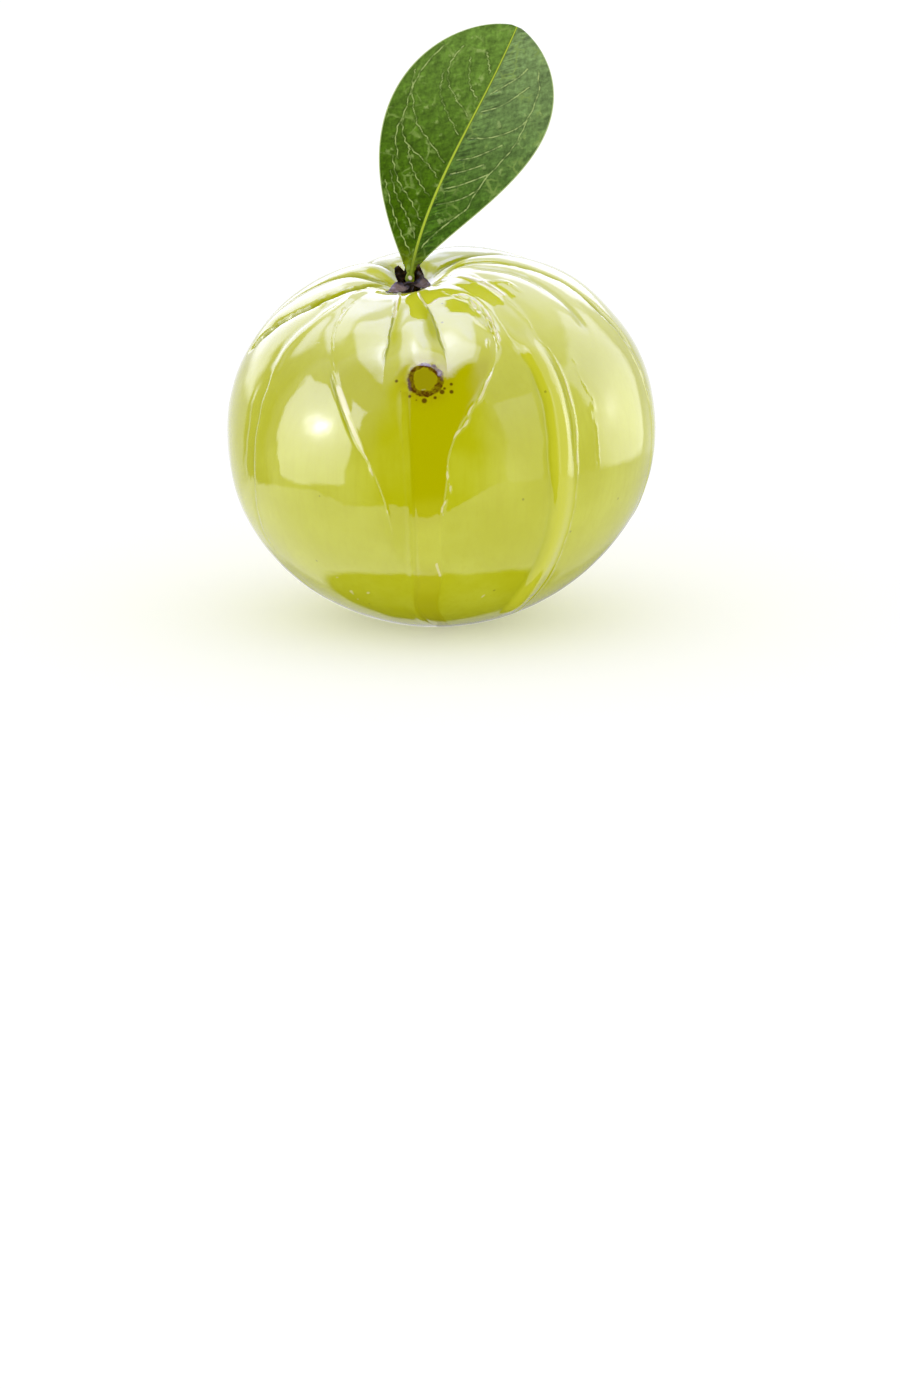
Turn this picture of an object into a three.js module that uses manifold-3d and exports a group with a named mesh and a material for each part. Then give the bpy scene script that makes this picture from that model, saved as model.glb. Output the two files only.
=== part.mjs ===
// Indian gooseberry (amla): one whole glazed fruit standing on a small flat spot, with its stalk stub,
// six dry calyx lobes and one leaf.
// Millimetres, +Z up. The origin is on the flat spot, straight below the middle of the fruit.
// Azimuths are degrees round the fruit's own axis: 0 faces -Y (the front) and +90 faces +X.
import * as THREE from 'three';
import { mergeVertices } from 'three/addons/utils/BufferGeometryUtils.js';
import Module from 'manifold-3d';

const wasm = await Module();
wasm.setup();

const FRUIT = {
  radius: 19.0, // half the width across the widest ring
  centreHeight: 16.2, // the widest ring's middle above the flat spot
  topHeight: 15.4, // from the widest ring to the crown, before the stalk hollow is pressed in
  bottomHeight: 16.8, // from the widest ring to the blossom end, before the flat spot
  topRoundness: 0.9, // under 1 squares the shoulders
  bottomRoundness: 1.05, // over 1 tapers the underside
  crownRoundness: 0.92,
  leanForward: 10.0, // degrees that the fruit's axis leans towards -Y
  leanLeft: 8.5, // degrees that it leans towards -X
  segments: 72,
  rings: 36,
};
const STALK_HOLLOW = { depth: 2.0, width: 3.5, x: -0.75, y: 1.2 };
const BLOSSOM_END = { depth: 0.6, width: 2.0 };
const SHOULDER_SWELL = { amount: 0.03, azimuth: -120.0, polar: 50.0, spreadPolar: 25.0, spreadRound: 45.0 };
const FURROWS = {
  azimuths: [-152, -120, -90, -66, -17, 7, 44, 76, 98, 130, 178],
  depth: 0.22,
  spread: 6.0, // degrees round the axis
  polar: 34.0, // deepest at this angle from the crown
  spreadPolar: 17.0,
};

const CLEARANCE = 0.3;
const STUB = { radius: 0.9, bore: 0.62, seat: 0.9, height: 1.1, wallFloor: 0.35, segments: 24 };
const LOBE = { start: STUB.radius + CLEARANCE, lift: 1.0, rootWidth: 0.8, tipWidth: 0.1, thickness: 0.2 };
// One entry a lobe: where it points, how steeply it rises, how far its near edge is rolled up about its
// own length, how far it reaches, how wide it is and how much its tip curls up.
const LOBES = [
  { azimuth: -66, rise: -14, roll: -16, length: 1.8, width: 1.3, curl: 0.75 },
  { azimuth: -2, rise: -12, roll: 0, length: 0.7, width: 1.1, curl: 0.1 },
  { azimuth: 60, rise: -10, roll: 16, length: 1.4, width: 1.3, curl: 0.4 },
  { azimuth: 108, rise: 52, roll: 0, length: 1.5, width: 1.35, curl: 0.0 },
  { azimuth: 176, rise: 46, roll: 0, length: 1.2, width: 1.3, curl: 0.2 },
  { azimuth: -114, rise: 50, roll: 0, length: 1.3, width: 1.2, curl: 0.4 },
];

const LEAF = {
  length: 24.4,
  leanBack: 12.0, // degrees that the blade leans away from upright, towards +Y
  leanRight: 22.9, // degrees that it leans towards +X
  leftHalf: { width: 7.2, taper: 1.31, roundness: 0.65 },
  rightHalf: { width: 6.4, taper: 1.54, roundness: 0.66 },
  bow: 0.86, // how far the midrib bows to the left of a straight line
  bowFall: 2.1, // how quickly the bow dies away towards the tip
  curl: 1.6, // how far the tip curls back
  fold: 0.12, // how far each half comes forward for each millimetre from the midrib
  bladeThickness: 0.3,
  midribThickness: 0.64,
  midribSpread: 0.5,
  petioleRadius: 0.32,
  tipWidth: 0.25,
  baseHeight: 1.0, // where the blade starts above the hollow's floor
  petioleBottom: STUB.wallFloor - STUB.seat + CLEARANCE,
  petioleSteps: 4,
  bladeSteps: 32,
  stepsAcross: 10,
};

const GLAZED_SKIN = new THREE.MeshStandardMaterial({ color: 0xbbc03a, roughness: 0.12, metalness: 0.0 });
const DRY_STALK = new THREE.MeshStandardMaterial({ color: 0x4a3420, roughness: 0.7, metalness: 0.0 });
const DRY_CALYX = new THREE.MeshStandardMaterial({ color: 0x2a1c12, roughness: 0.5, metalness: 0.0 });
const WAXY_LEAF = new THREE.MeshStandardMaterial({ color: 0x4f6c22, roughness: 0.45, metalness: 0.0 });

const { degToRad, radToDeg, euclideanModulo } = THREE.MathUtils;

// The bell curve that presses every hollow and raises every swelling.
function bell(distance, spread) {
  return Math.exp(-((distance / spread) ** 2));
}

// The smaller angle between two azimuths, in degrees.
function azimuthGap(a, b) {
  return Math.abs(euclideanModulo(a - b + 180, 360) - 180);
}

// Drops everything but position and joins the vertices that neighbouring faces share.
function closedGeometry(geometry) {
  geometry.deleteAttribute('normal');
  geometry.deleteAttribute('uv');
  const merged = mergeVertices(geometry, 1e-5);
  merged.computeVertexNormals();
  return merged;
}

// Moves every vertex to where shape(x, y, z) says.
function reshape(geometry, shape) {
  const position = geometry.attributes.position;
  for (let i = 0; i < position.count; i += 1) {
    const moved = shape(position.getX(i), position.getY(i), position.getZ(i));
    position.setXYZ(i, moved.x, moved.y, moved.z);
  }
  return closedGeometry(geometry);
}

function toSolid(geometry) {
  const merged = closedGeometry(geometry);
  const vertProperties = new Float32Array(merged.attributes.position.array);
  const triVerts = new Uint32Array(merged.index.array);
  return new wasm.Manifold(new wasm.Mesh({ numProp: 3, vertProperties, triVerts }));
}

function toGeometry(solid) {
  const mesh = solid.getMesh();
  const geometry = new THREE.BufferGeometry();
  geometry.setAttribute('position', new THREE.BufferAttribute(mesh.vertProperties, 3));
  geometry.setIndex(new THREE.BufferAttribute(mesh.triVerts, 1));
  geometry.computeVertexNormals();
  return geometry;
}

function namedMesh(name, geometry, material) {
  const mesh = new THREE.Mesh(geometry, material);
  mesh.name = name;
  return mesh;
}

// Height of the skin over the widest ring at x, y of the upper half, in the fruit's own frame.
function crownHeight(x, y) {
  const sine = Math.min(1, Math.hypot(x, y) / FRUIT.radius) ** (1 / FRUIT.topRoundness);
  const dome = FRUIT.topHeight * Math.sqrt(1 - sine ** 2) ** FRUIT.crownRoundness;
  const fromStalk = Math.hypot(x - STALK_HOLLOW.x, y - STALK_HOLLOW.y);
  return dome - STALK_HOLLOW.depth * bell(fromStalk, STALK_HOLLOW.width);
}

// Height of the skin of the lower half: a tapered dome with the blossom end pressed in.
function undersideHeight(radius, cosine) {
  return FRUIT.bottomHeight * cosine + BLOSSOM_END.depth * bell(radius, BLOSSOM_END.width);
}

// A point of the skin, from a point of the unit sphere that has its pole on the fruit's axis.
function skinPoint(sphereX, sphereY, sphereZ) {
  const cosine = THREE.MathUtils.clamp(sphereZ, -1, 1);
  const roundness = cosine > 0 ? FRUIT.topRoundness : FRUIT.bottomRoundness;
  const radius = FRUIT.radius * Math.sqrt(1 - cosine ** 2) ** roundness;
  const direction = Math.atan2(sphereY, sphereX);
  const x = radius * Math.cos(direction);
  const y = radius * Math.sin(direction);
  const point = new THREE.Vector3(x, y, cosine > 0 ? crownHeight(x, y) : undersideHeight(radius, cosine));

  const polar = radToDeg(Math.acos(cosine));
  const azimuth = radToDeg(direction) + 90;
  const swell = SHOULDER_SWELL.amount
    * bell(polar - SHOULDER_SWELL.polar, SHOULDER_SWELL.spreadPolar)
    * bell(azimuthGap(azimuth, SHOULDER_SWELL.azimuth), SHOULDER_SWELL.spreadRound);
  const furrow = FURROWS.azimuths
    .map((at) => bell(azimuthGap(azimuth, at), FURROWS.spread))
    .reduce((sum, part) => sum + part, 0)
    * FURROWS.depth
    * bell(polar - FURROWS.polar, FURROWS.spreadPolar);
  return point.multiplyScalar(1 + swell - furrow / FRUIT.radius);
}

// The fruit's own frame: its origin at the middle of the widest ring, its +Z towards the stalk.
const fruitFrame = new THREE.Matrix4()
  .makeTranslation(0, 0, FRUIT.centreHeight)
  .multiply(new THREE.Matrix4().makeRotationFromEuler(
    new THREE.Euler(degToRad(FRUIT.leanForward), degToRad(-FRUIT.leanLeft), 0, 'YXZ'),
  ));
const hollowFloor = new THREE.Vector3(
  STALK_HOLLOW.x,
  STALK_HOLLOW.y,
  crownHeight(STALK_HOLLOW.x, STALK_HOLLOW.y),
);

function fruit() {
  const skin = new THREE.SphereGeometry(1, FRUIT.segments, FRUIT.rings);
  skin.rotateX(Math.PI / 2);
  const body = reshape(skin, skinPoint).applyMatrix4(fruitFrame);

  const ground = new THREE.BoxGeometry(4 * FRUIT.radius, 4 * FRUIT.radius, FRUIT.radius);
  ground.translate(0, 0, -FRUIT.radius / 2);

  const socketRadius = STUB.radius + CLEARANCE;
  const socketBottom = STUB.seat + CLEARANCE;
  const socketTop = STUB.height;
  const socket = new THREE.CylinderGeometry(
    socketRadius,
    socketRadius,
    socketBottom + socketTop,
    STUB.segments,
  );
  socket.rotateX(Math.PI / 2);
  socket.translate(hollowFloor.x, hollowFloor.y, hollowFloor.z + (socketTop - socketBottom) / 2);
  socket.applyMatrix4(fruitFrame);

  const whole = toSolid(body).subtract(toSolid(ground)).subtract(toSolid(socket));
  return namedMesh('fruit', toGeometry(whole), GLAZED_SKIN);
}

// A short woody cup, round its own +Z, whose origin is on the hollow's floor.
function stalkStub() {
  const bottom = -STUB.seat;
  const top = STUB.height;
  const rim = (STUB.radius + STUB.bore) / 2;
  const profile = [
    [0, bottom],
    [STUB.radius * 0.8, bottom],
    [STUB.radius, bottom + 0.25],
    [STUB.radius * 0.94, 0.1],
    [STUB.radius, top - 0.2],
    [rim, top],
    [STUB.bore, top - 0.1],
    [STUB.bore, bottom + STUB.wallFloor],
    [0, bottom + STUB.wallFloor],
  ].map(([radius, height]) => new THREE.Vector2(radius, height));
  const cup = new THREE.LatheGeometry(profile, STUB.segments);
  cup.rotateX(Math.PI / 2);
  return namedMesh('stalk_stub', closedGeometry(cup), DRY_STALK);
}

// A pointed papery lobe: it runs out along its own +X, is widest before the middle and thins to its tip.
function calyxLobe(index, { azimuth, rise, roll, length, width, curl }) {
  const slab = new THREE.BoxGeometry(1, 1, 1, 8, 4, 1);
  const geometry = reshape(slab, (x, y, z) => {
    const along = x + 0.5;
    const bulge = Math.sin(Math.PI * Math.min(1, along ** 0.75));
    const root = THREE.MathUtils.lerp(LOBE.rootWidth, LOBE.tipWidth, along);
    const across = y * (root + (width - LOBE.rootWidth) * bulge);
    const thickness = THREE.MathUtils.lerp(LOBE.thickness, LOBE.thickness / 2, along);
    const channel = 0.5 * across ** 2;
    return new THREE.Vector3(along * length, across, z * thickness + curl * along ** 2 + channel);
  });
  const lobe = namedMesh(`calyx_lobe_${index + 1}`, geometry, DRY_CALYX);
  lobe.rotation.set(degToRad(roll), degToRad(-rise), 0, 'YXZ');
  lobe.position.set(LOBE.start, 0, LOBE.lift);

  const spoke = new THREE.Group();
  spoke.rotation.z = degToRad(azimuth - 90);
  spoke.add(lobe);
  return spoke;
}

// Half the blade's width at a fraction of its length: it widens as a power of the distance from the base,
// is widest at the peak, and rounds off to the tip as a power of the logarithm.
function bladeHalf(fraction, { width, taper, roundness }) {
  if (fraction <= 0 || fraction >= 1) return 0;
  const peak = Math.exp(-roundness / taper);
  return width * (fraction / peak) ** taper * (Math.log(fraction) / Math.log(peak)) ** roundness;
}

// The leaf with its midrib and petiole, in the blade's own frame: +Z from base to tip, -Y the upper side.
// toBlade takes the fruit's own frame to the blade's, so that the petiole follows the stub's axis.
function leafGeometry(toBlade) {
  const rows = LEAF.petioleSteps + LEAF.bladeSteps;
  const petioleFoot = hollowFloor.clone().setZ(hollowFloor.z + LEAF.petioleBottom).applyMatrix4(toBlade);
  const slab = new THREE.BoxGeometry(1, 1, 1, LEAF.stepsAcross, 1, rows);
  return reshape(slab, (x, y, z) => {
    const row = (z + 0.5) * rows - LEAF.petioleSteps;
    const fraction = THREE.MathUtils.clamp(row / LEAF.bladeSteps, 0, 1);
    const petiole = THREE.MathUtils.clamp(-row / LEAF.petioleSteps, 0, 1);
    const side = x < 0 ? LEAF.leftHalf : LEAF.rightHalf;
    const least = THREE.MathUtils.lerp(LEAF.petioleRadius, LEAF.tipWidth, fraction);
    const half = Math.max(least, bladeHalf(fraction, side));
    const across = Math.sign(x) * half * Math.abs(2 * x) ** 1.4;

    const bowPeak = 1 / (1 + LEAF.bowFall);
    const bow = LEAF.bow * (fraction * (1 - fraction) ** LEAF.bowFall)
      / (bowPeak * (1 - bowPeak) ** LEAF.bowFall);
    const curl = LEAF.curl * fraction ** 2;
    const fold = LEAF.fold * Math.abs(across);
    const rib = (LEAF.midribThickness - LEAF.bladeThickness) * bell(across, LEAF.midribSpread);
    const thickness = LEAF.bladeThickness + rib * (1 - 0.7 * fraction);

    const spine = petioleFoot.clone().multiplyScalar(petiole);
    return new THREE.Vector3(across - bow, y * thickness + curl - fold, fraction * LEAF.length).add(spine);
  });
}

function leaf() {
  const base = hollowFloor.clone().setZ(hollowFloor.z + LEAF.baseHeight).applyMatrix4(fruitFrame);
  const blade = new THREE.Group();
  blade.position.copy(base);
  blade.rotation.set(degToRad(-LEAF.leanBack), degToRad(LEAF.leanRight), 0);
  blade.updateMatrix();
  const toBlade = blade.matrix.clone().invert().multiply(fruitFrame);
  blade.add(namedMesh('leaf', leafGeometry(toBlade), WAXY_LEAF));
  return blade;
}

// The stub and the lobes share one frame, on the hollow's floor and square to the fruit's axis.
function crown() {
  const group = new THREE.Group();
  group.applyMatrix4(fruitFrame.clone().multiply(new THREE.Matrix4().setPosition(hollowFloor)));
  group.add(stalkStub(), ...LOBES.map((lobe, index) => calyxLobe(index, lobe)));
  return group;
}

const gooseberry = new THREE.Group();
gooseberry.name = 'indian_gooseberry';
gooseberry.add(fruit(), crown(), leaf());

export default gooseberry;
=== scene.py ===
"""Looks of a glazed Indian gooseberry (amla) with its stalk stub, calyx lobes and one leaf.

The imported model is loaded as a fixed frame, and each detailed piece is built where its node stands.
Classes hold their sizes in millimetres; meshes are in metres. On the fruit, a polar angle counts from
the stalk down and an azimuth goes round the fruit's own axis: 0 is the front (-Y) and +90 is +X.
"""

import logging
import math
from dataclasses import dataclass
from enum import Enum

import bpy
import numpy as np
from numpy.typing import NDArray
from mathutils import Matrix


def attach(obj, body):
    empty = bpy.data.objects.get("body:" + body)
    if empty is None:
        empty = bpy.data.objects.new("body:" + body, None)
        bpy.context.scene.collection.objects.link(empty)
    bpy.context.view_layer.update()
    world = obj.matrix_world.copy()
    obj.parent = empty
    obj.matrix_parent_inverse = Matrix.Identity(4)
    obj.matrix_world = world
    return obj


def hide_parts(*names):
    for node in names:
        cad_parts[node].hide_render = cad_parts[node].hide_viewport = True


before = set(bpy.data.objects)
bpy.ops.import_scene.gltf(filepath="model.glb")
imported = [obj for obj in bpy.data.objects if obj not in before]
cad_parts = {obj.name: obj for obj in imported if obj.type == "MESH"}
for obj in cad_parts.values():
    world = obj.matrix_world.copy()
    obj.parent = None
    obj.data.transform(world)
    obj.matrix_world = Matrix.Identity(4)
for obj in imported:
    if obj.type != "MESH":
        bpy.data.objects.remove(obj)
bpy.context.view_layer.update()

Array = NDArray[np.float64]
Colour = tuple[float, float, float, float]
Source = bpy.types.Node | bpy.types.NodeSocket  # what can be linked into a socket

MM = 0.001
WHITE = (1.0, 1.0, 1.0, 1.0)
BODY = "root"
WAVE_LENGTHS = (0.7, 1.4)  # the shortest and the longest plane wave of a ripple, beside its wavelength
log = logging.getLogger("gooseberry")


# Small maths -----------------------------------------------------------------------------------


def bell(distance: Array, spread: Array | float) -> Array:
    """Returns exp(-(distance / spread) squared), one at no distance and nearly nothing at two spreads."""
    return np.exp(-((distance / spread) ** 2))


def ramp(value: Array, low: float, high: float) -> Array:
    """Returns 0 below low and 1 above high, with a smooth S between them."""
    share = np.clip((value - low) / (high - low), 0.0, 1.0)
    return share * share * (3.0 - 2.0 * share)


def window(value: Array, low: float, high: float, fade: float) -> Array:
    """Returns 1 between low and high and fades to 0 over fade on both sides."""
    return ramp(value, low - fade, low + fade) * (1.0 - ramp(value, high - fade, high + fade))


def turn_gap(azimuth: Array, other: Array | float) -> Array:
    """Returns the signed angle in degrees from other round to azimuth, between -180 and 180."""
    return (azimuth - other + 180.0) % 360.0 - 180.0


def smooth_curve(value: Array, knots: tuple[tuple[float, float], ...]) -> Array:
    """Passes one smooth curve through a few knots and reads it.

    Each stretch is a cubic whose slope at a knot comes from the knots on both sides, and the curve is
    level beyond its ends.

    Args:
        value: where to read the curve.
        knots: (place, height) pairs, in order of place.

    Returns:
        The curve's height at each value.
    """
    place, height = np.array(knots, float).T
    slope = np.gradient(height, place)
    slope[[0, -1]] = 0.0
    left = np.clip(np.searchsorted(place, value) - 1, 0, len(place) - 2)
    step = place[left + 1] - place[left]
    t = np.clip((value - place[left]) / step, 0.0, 1.0)
    start = (1.0 + 2.0 * t) * (1.0 - t) ** 2 * height[left] + t * (1.0 - t) ** 2 * step * slope[left]
    end = t * t * (3.0 - 2.0 * t) * height[left + 1] + t * t * (t - 1.0) * step * slope[left + 1]
    return start + end


def turning(axis: str, degrees: float) -> Array:
    """Returns the 3 by 3 matrix that turns by degrees about the axis "x", "y" or "z"."""
    c = math.cos(math.radians(degrees))
    s = math.sin(math.radians(degrees))
    first, second = {"x": (1, 2), "y": (2, 0), "z": (0, 1)}[axis]
    matrix = np.eye(3)
    matrix[[first, second], [first, second]] = c
    matrix[first, second] = -s
    matrix[second, first] = s
    return matrix


def ripple(points: Array, wavelength: float, seed: int, waves: int = 7) -> Array:
    """Returns smooth, irregular waviness between about -1 and 1 at each point.

    It is the mean of a few plane waves whose directions and phases are drawn from the seed, each about
    one wavelength long.

    Args:
        points: positions in mm, with x, y, z on the last axis.
        wavelength: distance in mm from one crest to the next.
        seed: the same seed gives the same waves.
        waves: how many plane waves are added.
    """
    draw = np.random.default_rng(seed)
    total = np.zeros(points.shape[:-1])
    for _ in range(waves):
        direction = draw.normal(size=3)
        direction /= np.linalg.norm(direction)
        length = wavelength * draw.uniform(*WAVE_LENGTHS)
        total += np.sin(points @ direction * (2.0 * math.pi / length) + draw.uniform(0.0, 2.0 * math.pi))
    return total / math.sqrt(waves)


def smooth_path(knots: Array, samples: int) -> Array:
    """Returns points evenly spaced in step along one smooth curve through the knots, both K x 2."""
    place = np.linspace(0.0, len(knots) - 1.0, samples)
    columns = [smooth_curve(place, tuple(enumerate(knots[:, axis]))) for axis in range(knots.shape[1])]
    return np.stack(columns, -1)


def distance_to_path(points: Array, path: Array) -> Array:
    """Returns how far each point is from a path of short straight pieces, in the path's own plane.

    Each point is dropped on every piece, held between its two ends, and the nearest drop counts.
    """
    nearest = np.full(points.shape[:-1], np.inf)
    for start, end in zip(path[:-1], path[1:]):
        piece = end - start
        along = np.clip(((points - start) @ piece) / (piece @ piece), 0.0, 1.0)
        nearest = np.minimum(nearest, np.linalg.norm(points - start - along[..., None] * piece, axis=-1))
    return nearest


# Meshes ----------------------------------------------------------------------------------------


def closed_tube(name: str, rings: Array, start: Array, end: Array,
                marks: dict[str, Array]) -> bpy.types.Object:
    """Makes one closed mesh from a stack of rings and a point at each end.

    Neighbouring rings are joined by quads, each end ring by a fan to its point. If the enclosed volume
    comes out negative, every face is turned, so that faces point outwards.

    Args:
        name: the piece's name.
        rings: rows x columns x 3 points in mm; the last column joins the first.
        start: the point that closes the first ring, in mm.
        end: the point that closes the last ring, in mm.
        marks: numbers to store at each vertex, rows x columns, by attribute name.

    Returns:
        The new object, at the origin, with smooth faces.
    """
    rows, columns = rings.shape[:2]
    points = np.concatenate([rings.reshape(-1, 3), [start, end]])
    row = np.arange(rows - 1)[:, None] * columns
    here = np.arange(columns)[None, :]
    after = (here + 1) % columns
    below = row + columns
    quads = np.stack([row + here, row + after, below + after, below + here], -1).reshape(-1, 4)
    first = rows * columns
    lowest = (rows - 1) * columns
    here, after = here[0], after[0]
    fans = np.concatenate([
        np.stack([np.full(columns, first), after, here], -1),
        np.stack([np.full(columns, first + 1), lowest + here, lowest + after], -1),
    ])
    halves = np.concatenate([quads[:, [0, 1, 2]], quads[:, [0, 2, 3]], fans])
    a, b, c = points[halves[:, 0]], points[halves[:, 1]], points[halves[:, 2]]
    if np.einsum("ij,ij->i", a, np.cross(b, c)).sum() < 0.0:
        quads = quads[:, ::-1]
        fans = fans[:, ::-1]

    mesh = bpy.data.meshes.new(name)
    corners = np.concatenate([quads.ravel(), fans.ravel()])
    sizes = np.concatenate([np.full(len(quads), 4), np.full(len(fans), 3)])
    mesh.vertices.add(len(points))
    mesh.vertices.foreach_set("co", (points * MM).astype(np.float32).ravel())
    mesh.loops.add(len(corners))
    mesh.loops.foreach_set("vertex_index", corners.astype(np.int32))
    mesh.polygons.add(len(sizes))
    mesh.polygons.foreach_set("loop_start", np.concatenate([[0], np.cumsum(sizes)[:-1]]).astype(np.int32))
    mesh.polygons.foreach_set("use_smooth", np.ones(len(sizes), bool))
    mesh.update(calc_edges=True)
    mesh.validate()
    for mark, values in marks.items():
        ends = [values[0].mean(), values[-1].mean()]
        attribute = mesh.attributes.new(mark, "FLOAT", "POINT")
        attribute.data.foreach_set("value", np.concatenate([values.ravel(), ends]).astype(np.float32))
    piece = bpy.data.objects.new(name, mesh)
    bpy.context.scene.collection.objects.link(piece)
    return piece


def finish_piece(piece: bpy.types.Object, material: bpy.types.Material, slot: str, *nodes: str) -> None:
    """Dresses a piece, makes it ride with the part and lets it stand for its nodes.

    Args:
        piece: the finished object.
        material: its only material.
        slot: the record's material slot for the piece; not used.
        nodes: the nodes that it replaces.
    """
    piece.data.materials.append(material)
    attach(piece, BODY)
    if nodes:
        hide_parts(*nodes)
    stands_for = ", ".join(nodes) or "nothing"
    log.info("%s: %d faces, stands for %s", piece.name, len(piece.data.polygons), stands_for)


# Shader nodes ----------------------------------------------------------------------------------


# Settings of a smooth Map Range, whose sockets 1 and 2 are the range that comes in, 3 and 4 the one that
# goes out, from 0 to 1 if left alone; and of a colour Mix, whose sockets 6 and 7 are its two colours. A
# noise's values gather round 0.5, so the range that comes in says how much of the surface it shows on.
SMOOTH = {"interpolation_type": "SMOOTHSTEP"}
COLOURS = {"data_type": "RGBA"}


def linear_colour(code: str) -> Colour:
    """Returns the linear RGBA of an sRGB hex colour such as "#AFB129"."""
    parts = np.array([int(code[i:i + 2], 16) / 255.0 for i in (1, 3, 5)])
    linear = np.where(parts <= 0.04045, parts / 12.92, ((parts + 0.055) / 1.055) ** 2.4)
    return (*(float(part) for part in linear), 1.0)


def pattern_scale(size_mm: float) -> float:
    """Returns the scale at which a pattern's lumps or cells are size_mm across."""
    return 1.0 / (size_mm * MM)


def add_node(tree: bpy.types.NodeTree, kind: str, inputs: dict | None = None,
             **settings: object) -> bpy.types.Node:
    """Adds one shader node.

    Args:
        tree: the material's, light's or world's node tree.
        kind: the node's type name after "ShaderNode".
        inputs: what goes in each socket, by name or index: another node's output is linked, or the
            first output in use if it is the node itself, and anything else is set as the value.
        settings: the node's own properties.

    Returns:
        The new node.
    """
    node = tree.nodes.new("ShaderNode" + kind)
    for name, value in settings.items():
        setattr(node, name, value)
    for name, value in (inputs or {}).items():
        if isinstance(value, bpy.types.Node):
            value = next(socket for socket in value.outputs if socket.enabled)
        if isinstance(value, bpy.types.NodeSocket):
            tree.links.new(value, node.inputs[name])
        else:
            node.inputs[name].default_value = value
    return node


def new_material(name: str) -> tuple[bpy.types.Material, bpy.types.NodeTree]:
    """Returns a new material and its emptied node tree."""
    material = bpy.data.materials.new(name)
    material.use_nodes = True
    material.node_tree.nodes.clear()
    return material, material.node_tree


# The fruit -------------------------------------------------------------------------------------


class Line(Enum):
    """The lines that run down the fruit, in order round it, each as knots of (polar, azimuth).

    Furrows, the edges of syrup runs and the mesh's own columns follow them.
    """

    BACK_LEFT = ((0.0, -156.0), (30.0, -152.0), (70.0, -156.0), (130.0, -150.0))
    OUTLINE_LEFT = ((6.0, -136.0), (12.0, -127.0), (20.0, -125.5), (30.0, -120.0), (38.0, -114.0),
                    (48.0, -109.0), (70.0, -106.0), (110.0, -110.0))
    FAR_LEFT = ((8.0, -120.0), (14.0, -97.0), (21.0, -89.0), (32.0, -90.0), (46.0, -93.5), (60.0, -93.0),
                (90.0, -92.0), (150.0, -98.0))
    LEFT_FOLD = ((8.0, -100.0), (12.0, -85.0), (18.0, -72.0), (26.0, -68.5), (36.0, -68.5), (46.0, -66.0),
                 (60.0, -62.5), (80.0, -60.5), (104.0, -62.0), (117.0, -58.5), (135.0, -54.0))
    VEIL_LEFT = ((8.0, -78.0), (16.0, -65.0), (24.0, -55.5), (31.0, -48.0), (38.0, -41.0), (46.0, -34.5),
                 (53.0, -29.5), (60.0, -25.5), (68.0, -21.5), (76.0, -18.5), (87.0, -16.0), (104.0, -16.3),
                 (132.0, -20.5))
    LOBE_LEFT = ((8.0, -32.0), (14.0, -23.0), (20.0, -18.5), (28.0, -17.0), (38.0, -16.5), (50.0, -15.5),
                 (66.0, -14.0), (78.0, -13.0), (104.0, -14.3), (132.0, -19.0))
    CENTRE = ((8.0, -14.0), (24.0, -9.0), (40.0, -7.5), (51.0, -8.5), (72.0, -8.5), (88.0, -9.5),
              (112.0, -13.0), (132.0, -17.5))
    LOBE_RIGHT = ((6.0, -3.0), (17.0, 5.0), (28.0, 7.0), (38.0, 8.0), (46.0, 7.0), (56.0, 3.5), (66.0, 0.0),
                  (78.0, -3.5), (90.0, -5.5), (124.0, -10.5))
    VEIL_RIGHT = ((8.0, 24.0), (15.0, 28.0), (22.0, 33.5), (34.0, 33.0), (40.0, 29.0), (46.0, 24.5),
                  (52.0, 18.5), (58.0, 13.0), (64.0, 7.5), (71.0, 3.6), (82.0, 1.0), (90.0, -1.2),
                  (110.0, -4.0), (132.0, -8.5))
    RUN_LEFT = ((8.0, 46.0), (18.0, 43.0), (28.0, 39.5), (36.0, 36.5), (43.0, 35.0), (54.0, 34.0),
                (63.0, 33.0), (72.0, 31.0), (82.0, 29.0), (94.0, 27.5), (110.0, 24.0), (126.0, 18.0),
                (150.0, 12.0))
    RUN_RIGHT = ((8.0, 88.0), (14.0, 71.5), (20.0, 59.0), (32.0, 51.5), (46.0, 46.7), (58.0, 44.7),
                 (68.0, 42.2), (83.0, 38.5), (96.0, 35.6), (114.0, 31.5), (124.0, 29.2), (145.0, 25.0))
    GLINTS = ((8.0, 102.0), (14.0, 84.0), (22.0, 69.0), (32.0, 61.0), (46.0, 54.5), (56.0, 51.5),
              (66.0, 50.2), (77.0, 48.0), (90.0, 45.3), (110.0, 42.0), (130.0, 38.0))
    SHOULDER = ((8.0, 112.0), (14.0, 97.0), (26.0, 86.0), (40.0, 75.0), (54.0, 67.0), (70.0, 62.0),
                (100.0, 58.0))
    EDGE = ((8.0, 124.0), (12.0, 115.0), (18.0, 107.0), (27.0, 101.0), (38.0, 95.5), (50.0, 87.0),
            (64.0, 84.5), (77.0, 82.0), (110.0, 76.0))
    BACK_RIGHT = ((6.0, 152.0), (12.0, 139.0), (18.0, 131.0), (28.0, 129.0), (60.0, 128.0), (120.0, 126.0))
    BACK = ((6.0, 182.0), (30.0, 174.0), (70.0, 182.0), (120.0, 178.0))

    def azimuth(self, polar: Array) -> Array:
        """Returns the line's azimuth at each polar angle, in degrees."""
        return smooth_curve(polar, self.value)


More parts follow.
